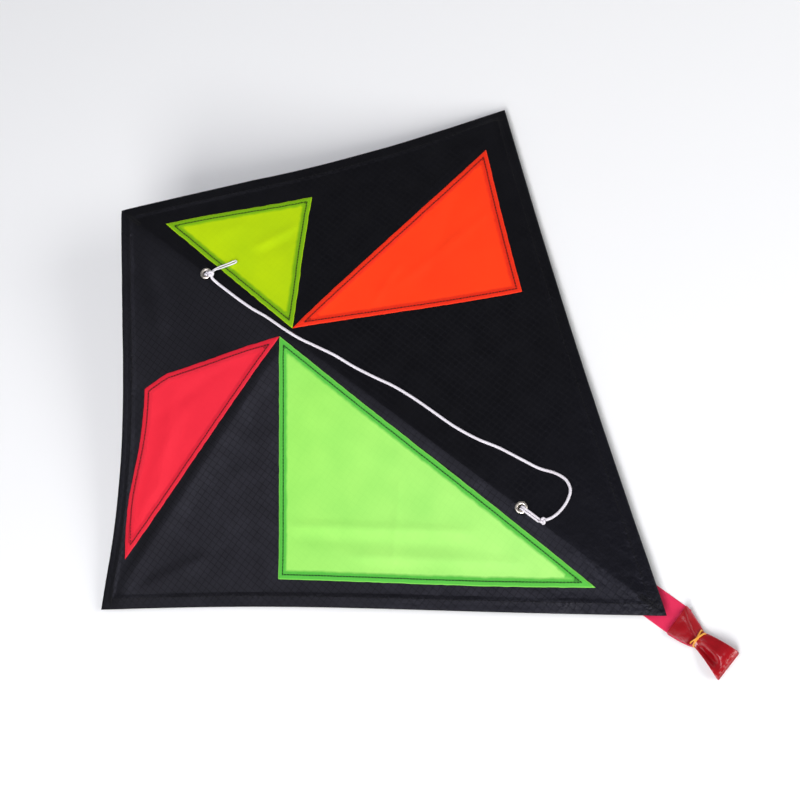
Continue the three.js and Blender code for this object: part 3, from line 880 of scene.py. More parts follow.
def cut_cloth(outline, holes, lines, spacing):
    """Points and triangles of a flat piece of cloth. Sides of the triangles follow the given lines."""
    loops = [np.asarray(outline, float), *holes]
    points, edges = [], []
    for loop, closed in [(l, True) for l in loops] + [(l, False) for l in lines]:
        first = sum(map(len, points))
        points.append(np.asarray(loop, float))
        count = len(loop)
        edges += [(first + i, first + (i + 1) % count) for i in range(count if closed else count - 1)]
    fixed = np.vstack(points)
    every = np.vstack([fixed, filling_points(outline, holes, fixed, spacing)])
    found = delaunay_2d_cdt(every.tolist(), edges, [], 0, 1e-7)
    flat, triangles = np.array([tuple(v) for v in found[0]]), np.array(found[2])
    triangles = triangles[inside_cloth(flat[triangles].mean(1), outline, holes)]
    a, b, c = (flat[triangles[:, i]] for i in range(3))
    turn_way = (b[:, 0] - a[:, 0]) * (c[:, 1] - a[:, 1]) - (b[:, 1] - a[:, 1]) * (c[:, 0] - a[:, 0])
    triangles = triangles[np.abs(turn_way) > 1e-12]
    turn_way = turn_way[np.abs(turn_way) > 1e-12]
    triangles[turn_way < 0] = triangles[turn_way < 0][:, ::-1]
    used, triangles = np.unique(triangles, return_inverse=True)
    return flat[used], triangles.reshape(-1, 3)


# ---- Stitches ----------------------------------------------------------------

STITCH_RADIUS = 0.00028
THREAD_LIFT = 0.00002


def stitch_run(line, pitch, length):
    """Where each stitch of a row lies on the flat cloth: its middle, its direction and its length."""
    line = np.asarray(line, float)
    along = np.concatenate([[0], np.cumsum(np.linalg.norm(np.diff(line, axis=0), axis=1))])
    count = max(1, round(along[-1] / pitch))
    at = (np.arange(count) + 0.5) * along[-1] / count
    places = np.stack([np.interp(at, along, line[:, k]) for k in range(2)], 1)
    segment = np.clip(np.searchsorted(along, at) - 1, 0, len(line) - 2)
    way = unit(line[segment + 1] - line[segment])
    angle = rng.normal(0, 0.05, count)
    way = np.stack([way[:, 0] * np.cos(angle) - way[:, 1] * np.sin(angle),
                    way[:, 0] * np.sin(angle) + way[:, 1] * np.cos(angle)], 1)
    return places, way, np.full(count, length) * rng.uniform(0.92, 1.06, count)


def zigzag(line, pitch, swing):
    """A zigzag row along a line, one stitch from side to side."""
    middle = evenly(line, pitch)
    way = unit(np.gradient(middle, axis=0))
    side = np.stack([-way[:, 1], way[:, 0]], 1) * swing
    corners = middle + side * np.where(np.arange(len(middle)) % 2 == 0, 1, -1)[:, None]
    step = np.diff(corners, axis=0)
    return (corners[1:] + corners[:-1]) / 2, unit(step), np.linalg.norm(step, axis=1)


def stitches(name, runs, lift, finish):
    """Rows of stitches on one wing, each a short loop of thread that dips into the cloth at its ends."""
    stations, sides = np.linspace(-1, 1, 5), 6
    angle = np.arange(sides) * 2 * math.pi / sides
    points, faces = [], []
    for places, ways, lengths in runs:
        for place, way, length in zip(places, ways, lengths):
            first = len(points)
            side = np.array([-way[1], way[0]])
            for s in stations:
                round_off = STITCH_RADIUS * math.sqrt(max(1 - s**4, 0.12))
                arch = STITCH_RADIUS * (1.0 - 1.5 * s * s)
                for a in angle:
                    spot = place + way * s * length / 2 + side * math.cos(a) * round_off
                    points.append((*spot, arch + math.sin(a) * round_off * 0.8))
            for i in range(len(stations) - 1):
                a, b = first + i * sides, first + (i + 1) * sides
                faces += [(a + k, b + k, b + (k + 1) % sides, a + (k + 1) % sides) for k in range(sides)]
            last = first + (len(stations) - 1) * sides
            faces.append(tuple(range(first, first + sides)))
            faces.append(tuple(range(last, last + sides))[::-1])
    points = np.array(points)
    place, normal = cloth_surface(points[:, :2], lift)
    piece = make(name, to_world(place + normal * points[:, 2:]), faces, [finish])
    outwards(piece)
    return bends_with_sail(piece)


# ---- Sail --------------------------------------------------------------------


def offset_edges(sign, by):
    """Lines that run along the two outer edges of one side, at a distance inside them."""
    whole = np.array([*outer_edges(1), *outer_edges(-1)[::-1][1:-1]])
    inner = inset(whole, by)
    true = distance_to(inner, whole) > by * 0.985
    count = len(outer_edges(1))
    order = np.arange(count) if sign == 1 else np.array([0, *range(count - 1, len(inner))[::-1]])
    return inner[[i for i in order if true[i] and sign * inner[i][0] > 0.0016]]


def corner_stitching(sign):
    """Extra rows that hold the pockets: a dense zigzag at the tail, and bars at the nose and the tip."""
    rows = [zigzag([(sign * 0.0012, y0), (sign * 0.0012, y1)], 0.0011, 0.0011)
            for y0, y1 in ((0.006, 0.024), (0.576, 0.592))]
    for y in (0.0075, 0.0100, 0.0125):
        half = min(0.0052, y * WING_SPAN / CROSS_Y - 0.0008)
        rows.append(zigzag([(sign * 0.0006, y), (sign * half, y)], 0.0009, 0.0007))
    corner = inset([NOSE, TIP[sign], TAIL], HEM)[1]
    way = unit(np.subtract(TIP[sign], NOSE))
    rows.append(stitch_run([corner, corner + way * 0.0078], 0.0026, 0.0022))
    rows.append(zigzag([corner - way * 0.001, corner + way * 0.0060], 0.0012, 0.0009))
    return rows


def keep_fold_smooth(piece, on_spine, count):
    """Marks the border along the spine as sharp, so that the two halves shade as one cloth."""
    mesh = piece.data
    for edge in mesh.edges:
        a, b = edge.vertices
        edge.use_edge_sharp = bool(on_spine[a] and on_spine[b] and a < count and b < count)


def lines_beside_spine(sign):
    """Lines that the cloth's mesh follows on both sides of the fold, kept clear of the eyelets."""
    lines = []
    for x in (0.0005, 0.0013, 0.0026, 0.0042, 0.0062, 0.0088):
        reach = x * SPINE_LINE * 1.2 / WING_SPAN
        column = np.array([(sign * x, y) for y in np.arange(0.004 + reach, SPINE_LINE - reach, 0.004)])
        clear = np.ones(len(column), bool)
        for y in EYELETS.values():
            clear &= np.hypot(column[:, 0], column[:, 1] - y) > EYELET_CLOTH_HOLE + 0.0012
        parts = np.split(column, np.flatnonzero(~clear))
        lines += [part[1:] if len(part) and not clear[0] else part for part in parts]
    return [evenly(line[2:-2], 0.004) for line in lines if len(line) > 8]


def hem_stitches(sign):
    hem = stitch_run(offset_edges(sign, HEM_STITCH), 0.0030, 0.0022)
    return stitches(f"hem_stitches_{SIDE[sign]}", [hem, *corner_stitching(sign)], CLOTH / 2 + THREAD_LIFT,
                    BLACK_THREAD)


def sail_half(sign, panels, nodes):
    """The black cloth of one wing, with its hem and a window behind each panel."""
    outline = [*outer_edges(sign)[::-1][:-1], (0.0, SPINE_LINE), *spine_side(sign)[::-1]]
    holes = [bowed(inset(corners, SEAM), bows, 0.004) for corners, bows in panels]
    beside_spine = lines_beside_spine(sign)
    hem_lines = [offset_edges(sign, by) for by in (0.0012, HEM_STITCH, HEM - 0.0003, HEM + 0.0004)]
    flat, triangles = cut_cloth(outline, holes, [*hem_lines, *beside_spine], MESH_SPACING)
    edge = distance_to(flat, outer_edges(sign), closed=False)
    groove = -0.00014 * np.exp(-(((edge - HEM_STITCH) / 0.0012) ** 2))
    place, normal = cloth_surface(flat, 0.0)
    place = to_world(place + normal * groove[:, None])
    above = CLOTH / 2 + 0.00022 * smooth(edge / 0.001) * (edge < HEM)
    below = CLOTH / 2 + 0.00030 * (edge < HEM)
    on_spine = np.abs(flat[:, 0]) < 1e-6
    points, faces, source, _ = skin(place, turned(normal), triangles, above, below, on_spine)
    piece = make(f"sail_{SIDE[sign]}_half", points, faces, [BLACK], flat=flat[source])
    keep_fold_smooth(piece, on_spine[source], 2 * len(flat))
    mark(piece, "edge", edge[source])
    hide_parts(*nodes)
    bends_with_sail(piece)
    hem_stitches(sign)


sail_half(1, [(LIME, LIME_BOWS), (ORANGE, ORANGE_BOWS)], ["sail_right", "sail_ridge_band"])
sail_half(-1, [(GREEN, GREEN_BOWS), (RED, RED_BOWS)], ["sail_left", "sail_ridge_band"])

# ---- Appliqued panels --------------------------------------------------------

LIME_CREASES = [
    (0.045, 0.478, 0.100, 0.458, 0.004, 0.0008),
    (0.040, 0.472, 0.095, 0.450, 0.006, -0.0006),
    (0.020, 0.520, 0.060, 0.500, 0.009, 0.0005),
]
ORANGE_CREASES = [
    (0.066, 0.359, 0.108, 0.368, 0.003, 0.0008),
    (0.090, 0.355, 0.200, 0.340, 0.004, 0.0007),
    (0.110, 0.340, 0.190, 0.375, 0.006, -0.0006),
    (0.140, 0.300, 0.200, 0.355, 0.005, 0.0005),
]
GREEN_CREASES = [
    (-0.124, 0.297, -0.040, 0.167, 0.0035, 0.0010),
    (-0.132, 0.290, -0.050, 0.160, 0.005, -0.0009),
    (-0.112, 0.236, -0.036, 0.118, 0.0040, 0.0009),
    (-0.120, 0.228, -0.050, 0.115, 0.004, -0.0005),
    (-0.100, 0.203, -0.041, 0.240, 0.0030, 0.0005),
    (-0.040, 0.360, -0.030, 0.200, 0.010, 0.0006),
]
RED_CREASES = [
    (-0.100, 0.455, -0.200, 0.402, 0.008, 0.0010),
    (-0.120, 0.470, -0.215, 0.418, 0.006, -0.0008),
    (-0.040, 0.425, -0.130, 0.460, 0.007, -0.0005),
    (-0.090, 0.440, -0.180, 0.430, 0.005, 0.0004),
]


def panel(name, corners, bows, finish, own_creases, slot, waver):
    """A coloured panel sewn over its window in the sail, and the row of stitches that holds it."""
    outline = wavering(bowed(corners, bows, 0.0025), corners, waver, len(name))
    insets = (0.0013, SEAM_STITCH, SEAM - 0.0012, SEAM + 0.0012)
    lines = [bowed(inset(corners, by), bows, 0.003) for by in insets]
    closed = [np.vstack([line, line[:1] + 1e-6]) for line in lines]
    flat, triangles = cut_cloth(outline, [], closed, MESH_SPACING * 0.8)
    edge = distance_to(flat, outline)
    x, y = flat[:, 0] * math.cos(DIHEDRAL), flat[:, 1]
    inner = smooth((edge - SEAM_STITCH) / 0.012)
    own = creases(x, y, own_creases) + 0.00022 * noise(x / 0.019, y / 0.024, len(slot))
    groove = -0.00015 * np.exp(-(((edge - SEAM_STITCH) / 0.0011) ** 2))
    lip = 0.00012 * np.exp(-edge / 0.0015) * noise(x / 0.006, y / 0.006, 5)
    place, normal = cloth_surface(flat, PANEL_LIFT)
    place = to_world(place + normal * (inner * own + groove + lip)[:, None])
    half = CLOTH * 0.4
    points, faces, source, _ = skin(place, turned(normal), triangles, half, half)
    piece = make(f"{name}_cloth", points, faces, [finish], flat=flat[source])
    mark(piece, "edge", edge[source])
    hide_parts(name)
    bends_with_sail(piece)
    line = bowed(inset(corners, SEAM_STITCH), bows, 0.004)
    row = stitch_run(np.vstack([line, line[:1]]), 0.0028, 0.0025)
    sewn = stitches(f"{name}_stitches", [row], PANEL_LIFT + THREAD_LIFT, BLACK_THREAD)


panel("panel_lime", LIME, LIME_BOWS, LIME_CLOTH, LIME_CREASES, "lime_cloth", 0.0003)
panel("panel_orange", ORANGE, ORANGE_BOWS, ORANGE_CLOTH, ORANGE_CREASES, "orange_cloth", 0.0002)
panel("panel_green", GREEN, GREEN_BOWS, GREEN_CLOTH, GREEN_CREASES, "green_cloth", 0.0002)
panel("panel_red", RED, RED_BOWS, RED_CLOTH, RED_CREASES, "red_cloth", 0.0003)

# ---- Bridle ------------------------------------------------------------------

CORD_WIDTH = 0.0024
CORD_HEIGHT = 0.0019
LOOP_RADIUS = 0.0009
KNOT_STRAND = 0.0011
TAG_WIDTH = 0.0013
STRAND_X = 0.00098
RESTS_LOWER = 0.0006

# Points of the cord on the sail: x, y and the height of its middle over the sail.
BRIDLE_ROUTE = [
    (0.0010, 0.4872, 0.0040), (-0.0004, 0.4846, 0.0034), (-0.0010, 0.4780, 0.0025),
    (-0.0011, 0.4677, 0.0019),
    (-0.0012, 0.4525, 0.0019), (-0.0007, 0.4374, 0.0019), (0.0008, 0.4237, 0.0019),
    (0.0016, 0.4018, 0.0020), (0.0028, 0.3860, 0.0022), (0.0060, 0.3687, 0.0023),
    (0.0092, 0.3512, 0.0020), (0.0112, 0.3310, 0.0018), (0.0146, 0.3102, 0.0017),
    (0.0180, 0.2928, 0.0017), (0.0200, 0.2692, 0.0017), (0.0204, 0.2500, 0.0017),
    (0.0210, 0.2292, 0.0017), (0.0240, 0.2073, 0.0017), (0.0286, 0.1891, 0.0017),
    (0.0312, 0.1727, 0.0017), (0.0346, 0.1519, 0.0017), (0.0390, 0.1395, 0.0017),
    (0.0398, 0.1295, 0.0017), (0.0354, 0.1210, 0.0017), (0.0265, 0.1168, 0.0017),
    (0.0160, 0.1156, 0.0020), (0.0088, 0.1164, 0.0027), (0.0053, 0.1177, 0.0033),
    (0.0028, 0.1192, 0.0034),
]
TAG_ROUTE = [
    (0.0030, 0.4890, 0.0042), (0.0071, 0.4888, 0.0039), (0.0120, 0.4874, 0.0033),
    (0.0180, 0.4846, 0.0026),
    (0.0226, 0.4826, 0.0024), (0.0246, 0.4812, 0.0024), (0.0240, 0.4799, 0.0024),
    (0.0216, 0.4806, 0.0024), (0.0172, 0.4827, 0.0026), (0.0112, 0.4856, 0.0032),
    (0.0070, 0.4877, 0.0039), (0.0030, 0.4880, 0.0040),
]


def raised(route, rests_lower=0.0):
    """Route points in the kite's frame, over the cloth as it lies."""
    x, y, clear = np.asarray(route, float).T
    bend = np.hypot(x, RIDGE_ROUND) - RIDGE_ROUND
    height = relief(x, y) - FALL * bend + clear - rests_lower * smooth((0.0034 - clear) / 0.001)
    return np.stack([x, y, height], 1)


def spine_loop(name, y, knot_edge, knot_height):
    """The cord from its knot over the flange, down the eyelet, round the spine rod and back."""
    down = [(STRAND_X, knot_edge, knot_height), (STRAND_X, y - 0.0022, knot_height),
            (STRAND_X, y - 0.0003, 0.0016), (STRAND_X, y, -0.001), (0.0016, y, -0.00175),
            (0.0025, y, -0.0027), (0.00285, y, -0.0039), (0.002, y, -0.0059)]
    up = [(-x, v, z) for x, v, z in down][::-1]
    path = to_world(smooth_path([*down, (0.0, y, -0.00675), *up], 0.0004))
    piece = braided(f"{name}_braid", path, LOOP_RADIUS, LOOP_RADIUS, CORD, sides=24)
    return finished(piece, "frame", "white_cord", name)


def follows_wing_off_spine(piece, node):
    """Turns the cord's faces outwards, hides the CAD node that it takes the place of and bakes its
    placement into its mesh.
    """
    stands_for(piece, "white_cord", node)
    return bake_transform(piece)


def knot(name, centre, half_size, lean):
    """A pulled-tight overhand knot that fills an ellipsoid."""
    t = np.linspace(0, 2 * math.pi, 120, endpoint=False)
    shape = np.stack([np.sin(t) + 2 * np.sin(2 * t),
                      np.cos(t) - 2 * np.cos(2 * t),
                      -1.35 * np.sin(3 * t)], 1)
    cos, sin = math.cos(lean), math.sin(lean)
    turn_by = np.array([[cos, -sin, 0], [sin, cos, 0], [0, 0, 1]])
    shape = shape @ turn_by.T
    room = np.asarray(half_size) - KNOT_STRAND
    shape = shape / np.abs(shape).max(0) * room + np.asarray(centre)
    piece = braided(f"{name}_braid", to_world(shape), KNOT_STRAND, KNOT_STRAND, CORD, closed=True, sides=20)
    return follows_wing_off_spine(piece, name)


def bridle():
    pieces = [
        spine_loop("upper_bridle_loop", EYELETS["upper"], EYELETS["upper"] - 0.0042, 0.0039),
        spine_loop("lower_bridle_loop", EYELETS["lower"], 0.1222, 0.0032),
        knot("upper_bridle_knot", (0.0020, 0.4882, 0.0040), (0.0034, 0.0026, 0.0023), 0.5),
        knot("lower_bridle_knot", (0.0014, 0.1200, 0.0034), (0.0032, 0.0030, 0.0025), -0.4),
    ]
    facing = turned([(math.sin(DIHEDRAL) * 0.6, 0, 1)])[0]
    path = to_world(smooth_path(raised(BRIDLE_ROUTE, RESTS_LOWER), 0.0005))
    line = braided("bridle_line_braid", path, CORD_WIDTH / 2, CORD_HEIGHT / 2, CORD, flat_on=facing)
    follows_wing_off_spine(line, "bridle_line")
    tag_path = to_world(smooth_path(raised(TAG_ROUTE), 0.0003))
    tag = braided("bridle_tag_loop_braid", tag_path, TAG_WIDTH / 2, TAG_WIDTH / 2, CORD, sides=16)
    follows_wing_off_spine(tag, "bridle_tag_loop")


bridle()

# ---- Rods, caps, pockets and joiner ------------------------------------------


def wing_place(sign, x, y, height):
    """A point given on a wing, in the kite's frame. Height is square to the wing."""
    apex = RIDGE_ROUND * FALL
    return (sign * (x * math.cos(DIHEDRAL) + height * math.sin(DIHEDRAL)), y,
            apex - x * math.sin(DIHEDRAL) + height * math.cos(DIHEDRAL))


def wing_way(sign):
    return np.array([sign * math.cos(DIHEDRAL), 0, -math.sin(DIHEDRAL)])


def rod(name, place, way, length, body):
    profile = fillet([(0, 0), (ROD_RADIUS, 0), (ROD_RADIUS, length), (0, length)], 0.0003)
    piece = turn(f"{name}_tube", profile, place, way, [ROD], sides=40)
    finished(piece, body, "rod", name)


def cap(name, rod_end, way, body):
    """A dipped vinyl cap with a domed end and a rolled lip, pulled over a rod's end."""
    tip, mouth, floor = 0.0015, -0.0125, 0.0003
    profile = [(0, tip), (0.0016, tip - 0.0001), (0.0023, tip - 0.0012), (0.0023, mouth + 0.0016),
               (0.0025, mouth + 0.0012), (0.0025, mouth), (0.0018, mouth), (0.0018, floor), (0, floor)]
    piece = turn(f"{name}_shell", fillet(profile, 0.0006), rod_end, way, [VINYL], sides=40)
    finished(piece, body, "vinyl", name)


def rods_and_caps():
    spine_length = SPINE_LINE - 2 * ROD_INSET
    ahead = np.array([0.0, 1.0, 0.0])
    rod("spine_rod", (0, ROD_INSET, -ROD_DEPTH), ahead, spine_length, "frame")
    cap("spine_nose_cap", (0, SPINE_LINE - ROD_INSET, -ROD_DEPTH), ahead, "frame")
    cap("spine_tail_cap", (0, ROD_INSET, -ROD_DEPTH), -ahead, "frame")
    for sign in (1, -1):
        start = wing_place(sign, SPAR_START, CROSS_Y, -ROD_DEPTH)
        end = wing_place(sign, WING_SPAN - ROD_INSET, CROSS_Y, -ROD_DEPTH)
        rod(f"{SIDE[sign]}_spar", start, wing_way(sign), WING_SPAN - ROD_INSET - SPAR_START, WING[sign])
        cap(f"{SIDE[sign]}_spar_cap", end, wing_way(sign), WING[sign])


POCKET_LENGTH = 0.018
POCKET_END_ROUND = 0.0012
POCKET_RADIUS = 0.00285
POCKET_TOP = -0.00065
POCKET_REACH = 0.0023
TAPE_THICK = 0.00044


def pocket_section(flange):
    """Across a pocket: flange, trough and flange, as (across, depth as a share)."""
    points = [(-flange, 0.0), (-(flange + POCKET_RADIUS) / 2, 0.0), (-POCKET_RADIUS - 0.0003, 0.0)]
    drop = ROD_DEPTH + POCKET_TOP
    points.append((-POCKET_RADIUS, -drop * 0.5))
    for i in range(13):
        angle = math.pi * (1 + i / 12)
        points.append((POCKET_RADIUS * math.cos(angle), -drop + POCKET_RADIUS * math.sin(angle)))
    return points + [(-x, z) for x, z in points[:4][::-1]]


def pocket(name, place, way, up, body, flange):
    """A channel of folded tape, open towards the middle of the sail and closed round the rod's cap."""
    way, up = np.asarray(way, float), np.asarray(up, float)
    across = np.cross(way, up)
    closing_from = POCKET_LENGTH - POCKET_END_ROUND
    closing = closing_from + POCKET_END_ROUND * np.sin(np.linspace(0, 1.5, 6))
    stations = [0.0, 0.0004, *np.linspace(0.002, 0.0160, 9), *closing]
    section = evenly(pocket_section(flange), 0.00065)
    rows, flat = [], []
    for s in stations:
        close = math.sqrt(max(1 - (max(s - closing_from, 0) / POCKET_END_ROUND) ** 2, 0.004))
        flare = 1 + 0.06 * math.exp(-s / 0.0015)
        for x, z in section:
            pull = x * flare if z < 0 else x
            rows.append(np.asarray(place) + way * (s - POCKET_LENGTH + POCKET_REACH) + across * pull
                        + up * (POCKET_TOP + z * close))
            flat.append((x - z, s))
    triangles = grid_triangles(len(stations), len(section))
    world = to_world(rows)
    half = TAPE_THICK / 2
    points, faces, source, _ = skin(world, normals_of(world, triangles), triangles, half, half)
    piece = make(f"{name}_tape", points, faces, [TAPE], flat=np.array(flat)[source])
    finished(piece, body, "webbing", name)
    return piece


def tip_patch(sign):
    """The corner patch that a wing tip's pocket is folded from, following the two edges of the sail."""
    tip = WING_SPAN - 0.003
    upper, lower = math.atan2(SPINE_LINE - CROSS_Y, WING_SPAN), math.atan2(CROSS_Y, WING_SPAN)
    side = 0.027
    corners = [(sign * tip, CROSS_Y),
               (sign * (tip - side * math.cos(lower)), CROSS_Y - side * math.sin(lower)),
               (sign * (tip - side * math.cos(upper)), CROSS_Y + side * math.sin(upper))]
    if area_of(corners) < 0:
        corners = corners[::-1]
    outline = ring(fillet(corners, 0.002, closed=True), 0.0012)
    flat, triangles = cut_cloth(outline, [], [], 0.0016)
    edge = distance_to(flat, outline)
    place = [wing_place(sign, sign * x, y, POCKET_TOP - TAPE_THICK * 0.9 + 0.00012 * math.exp(-e / 0.001))
             for (x, y), e in zip(flat, edge)]
    up = np.array([sign * math.sin(DIHEDRAL), 0, math.cos(DIHEDRAL)])
    half = TAPE_THICK / 2
    normals = np.tile(turned([up]), (len(flat), 1))
    points, faces, source, _ = skin(to_world(place), normals, triangles, half, half)
    piece = make(f"{SIDE[sign]}_tip_patch", points, faces, [TAPE], flat=flat[source])
    finished(piece, WING[sign], "webbing")


def pockets():
    ahead, up = np.array([0.0, 1.0, 0.0]), np.array([0.0, 0.0, 1.0])
    pocket("nose_pocket", (0, SPINE_LINE - ROD_INSET, 0), ahead, up, "frame", 0.0047)
    pocket("tail_pocket", (0, ROD_INSET, 0), -ahead, up, "frame", 0.0047)
    for sign in (1, -1):
        place = wing_place(sign, WING_SPAN - ROD_INSET, CROSS_Y, 0)
        wing_up = (sign * math.sin(DIHEDRAL), 0, math.cos(DIHEDRAL))
        pocket(f"{SIDE[sign]}_tip_pocket", place, wing_way(sign), wing_up, WING[sign], 0.0046)
        tip_patch(sign)


JOINER_RADIUS = 0.004
JOINER_TOP = 0.0033
ARM_START, ARM_END = 0.0064, 0.035
CORE_LENGTH = 0.024
NECK_HALF = (0.0036, 0.0021)


def joiner_section(scale, sides=36):
    """A round section whose side towards the sail is flat, about the rod's middle."""
    points = []
    for i in range(sides):
        angle = 2 * math.pi * i / sides
        x, z = JOINER_RADIUS * scale * math.cos(angle), JOINER_RADIUS * scale * math.sin(angle)
        points.append((x, min(z, JOINER_TOP * scale)))
    return points


def moulded_tube(name, place, way, up, length, collars, body, node):
    """A moulded socket with rounded ends and raised collars at the given distances along it."""
    way, up = np.asarray(way, float), np.asarray(up, float)
    across = np.cross(way, up)
    rings = []
    for s in np.linspace(0, length, 90):
        inside = min(s, length - s)
        scale = 0.94 * math.sqrt(max(1 - max(1 - inside / 0.0012, 0) ** 2 * 0.45, 0.05))
        scale += 0.06 * max(math.exp(-(((s - c) / 0.0011) ** 4)) for c in collars)
        rings.append(to_world([np.asarray(place) + way * s + across * x + up * z
                               for x, z in joiner_section(scale)]))
    piece = loft(name, rings, [VINYL], sharp=50)
    finished(piece, body, "vinyl", node)


def squared(share):
    """Swells a sine or cosine, so that a round section comes out squarer."""
    return math.copysign(abs(share) ** 0.6, share)


def joiner_neck(sign):
    """The flexible web between the joiner's core and one arm, thinnest where it bends."""
    rings = []
    for x in np.linspace(0.0026, 0.0086, 25):
        waist = 1 - 0.42 * math.exp(-(((x - 0.0054) / 0.0011) ** 2))
        middle = wing_place(sign, x, CROSS_Y, -ROD_DEPTH)
        ring_points = []
        for i in range(28):
            angle = 2 * math.pi * i / 28
            wide = NECK_HALF[0] * squared(math.cos(angle)) * (0.8 + 0.2 * waist)
            high = NECK_HALF[1] * squared(math.sin(angle)) * waist
            ring_points.append((middle[0] + high * math.sin(DIHEDRAL) * sign, middle[1] + wide,
                                middle[2] + high * math.cos(DIHEDRAL)))
        rings.append(to_world(ring_points))
    piece = outwards(loft(f"joiner_{SIDE[sign]}_neck", rings, [VINYL]))
    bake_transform(piece)


def joiner():
    core_start = (0, CROSS_Y - CORE_LENGTH / 2, -ROD_DEPTH)
    moulded_tube("joiner_core_mould", core_start, (0, 1, 0), (0, 0, 1), CORE_LENGTH,
                 (0.0016, CORE_LENGTH / 2, CORE_LENGTH - 0.0016), "frame", "joiner_core")
    for sign in (1, -1):
        start = wing_place(sign, ARM_START, CROSS_Y, -ROD_DEPTH)
        up = (sign * math.sin(DIHEDRAL), 0, math.cos(DIHEDRAL))
        moulded_tube(f"joiner_{SIDE[sign]}_arm_mould", start, wing_way(sign), up, ARM_END - ARM_START,
                     (0.0270, 0.0180), WING[sign], f"joiner_{SIDE[sign]}_arm")
        joiner_neck(sign)


rods_and_caps()
pockets()
joiner()

# ---- Eyelets -----------------------------------------------------------------


def eyelet(place_name, y):
    """A rolled brass eyelet through the sail, with its washer turned over on the back."""
    up = (0, 0, 1)
    profile = [(0.0026, -0.00115), (0.0029, -0.00115), (0.0029, 0.00030), (0.0048, 0.00030),
               (0.0050, 0.00055), (0.0049, 0.00090), (0.0043, 0.00125), (0.0035, 0.00130),
               (0.0028, 0.00105), (0.0026, 0.00060)]
    piece = turn(f"{place_name}_eyelet_ring", fillet(profile, 0.0004, closed=True), (0, y, 0), up, [NICKEL],
                 closed=True, sides=64)
    finished(piece, "frame", "nickel", f"{place_name}_eyelet")
    ring_profile = [(0.0032, -0.00100), (0.0047, -0.00100), (0.0049, -0.00062), (0.0046, -0.00052),
                    (0.0032, -0.00058)]
    washer = turn(f"{place_name}_washer_ring", fillet(ring_profile, 0.0002, closed=True), (0, y, 0), up,
                  [NICKEL], closed=True, sides=64)
    finished(washer, "frame", "nickel", f"{place_name}_eyelet_washer")


for where, along_y in EYELETS.items():
    eyelet(where, along_y)

# ---- Ribbon tail -------------------------------------------------------------

FILM = 0.00016
GROUND_TIP = np.array([0.0, TAIL_TIP[1], 0.0])
RUN_FROM, RUN_TO = 0.026, -0.0125
RUN_X = 0.0026
BUNDLE_PLACE = np.array([0.0024, -0.009, 0.0])
BUNDLE_TURN = math.radians(-6.1)
BUNDLE_LENGTH = 0.0542
BUNDLE_SKEW = 0.10
WAIST_Y = -0.0231
WAIST_HALF = 0.0062
LAYERS = 14


def film(name, rows, columns, points, flat, top, under):
    """A strip of ribbon from a grid of points, with a finish for each face of it."""
    triangles = grid_triangles(rows, columns)
    normals = normals_of(points, triangles)
    shape, faces, source, below = skin(points, normals, triangles, FILM / 2, FILM / 2)
    return make(name, shape, faces, [top, under], face_finish=below.astype(int), flat=flat[source])


def tail_run():
    """The flat run of ribbon, from its sewn end under the sail to where the folds begin."""
    columns, ys = 19, np.linspace(RUN_TO, RUN_FROM, 60)
    points, flat = [], []
    for y in ys:
        for x in np.linspace(-RIBBON_WIDTH / 2, RIBBON_WIDTH / 2, columns):
            curl = 0.00018 * (abs(x) / (RIBBON_WIDTH / 2)) ** 4
            wave = 0.00010 * noise(np.array([x / 0.008]), np.array([y / 0.010]), 9)[0]
            points.append(GROUND_TIP + (x + RUN_X, y, 0.00016 + curl + abs(wave)))
            flat.append((x, y))
    piece = film("tail_ribbon_run", len(ys), columns, np.array(points), np.array(flat), MATTE, GLOSS)
    stands_for(piece, "ribbon", "tail_sewn_end", "tail_ribbon")
    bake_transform(piece)


def half_width(y, side):
    """The bundle's half width along it, pinched at its waist and rounder on its right-hand side."""
    near = y > WAIST_Y
    share = np.where(near, (y - WAIST_Y) / -WAIST_Y, (WAIST_Y - y) / (BUNDLE_LENGTH + WAIST_Y))
    power = np.where(near, 0.80 if side > 0 else 0.62, 0.72 if side > 0 else 1.35)
    return WAIST_HALF + (RIBBON_WIDTH / 2 - WAIST_HALF) * np.clip(share, 0, 1) ** power


def top_height(u, y):
    """The height of the bundle's top, over its width from -1 to 1. On the near side a ridge runs from the
    right-hand corner to the waist. The far side is a fan with a hollow on its left and a rolled end."""
    near = np.clip((y - WAIST_Y) / -WAIST_Y, 0, 1)
    far = np.clip((WAIST_Y - y) / (BUNDLE_LENGTH + WAIST_Y), 0, 1)
    ridge_at = 0.05 + 0.90 * near
    left = np.clip((ridge_at - u) / (ridge_at + 1), 0, 1)
    right = np.clip((u - ridge_at) / np.maximum(1 - ridge_at, 0.05), 0, 1)
    left_fall = 0.0010 * left + 0.0022 * (1 - np.exp(-left / 0.10))
    right_fall = 0.0046 * right * (1 - near) ** 0.5
    fall = np.where(u < ridge_at, left_fall * (0.4 + 0.6 * smooth(near * 5)), right_fall)
    near_side = 0.0072 + 0.0006 * near - fall
    hollow_run = np.sin(math.pi * np.clip(far * 1.1, 0, 1)) ** 0.7
    hollow = 0.0042 * np.exp(-(((u + 0.50) / 0.30) ** 2)) * hollow_run
    crest = 0.0009 * np.exp(-(((u - 0.12) / 0.16) ** 2)) * (1 - far)
    sides = 0.0036 * np.abs(u - 0.12) ** 1.5 * (1 - far) ** 1.6
    rolled = 0.0034 * np.clip((far - 0.74) / 0.26, 0, 1) ** 2
    far_side = 0.0068 + 0.0022 * smooth(far * 1.25) - hollow - sides + crest - rolled
    return np.where(y > WAIST_Y, near_side, far_side)


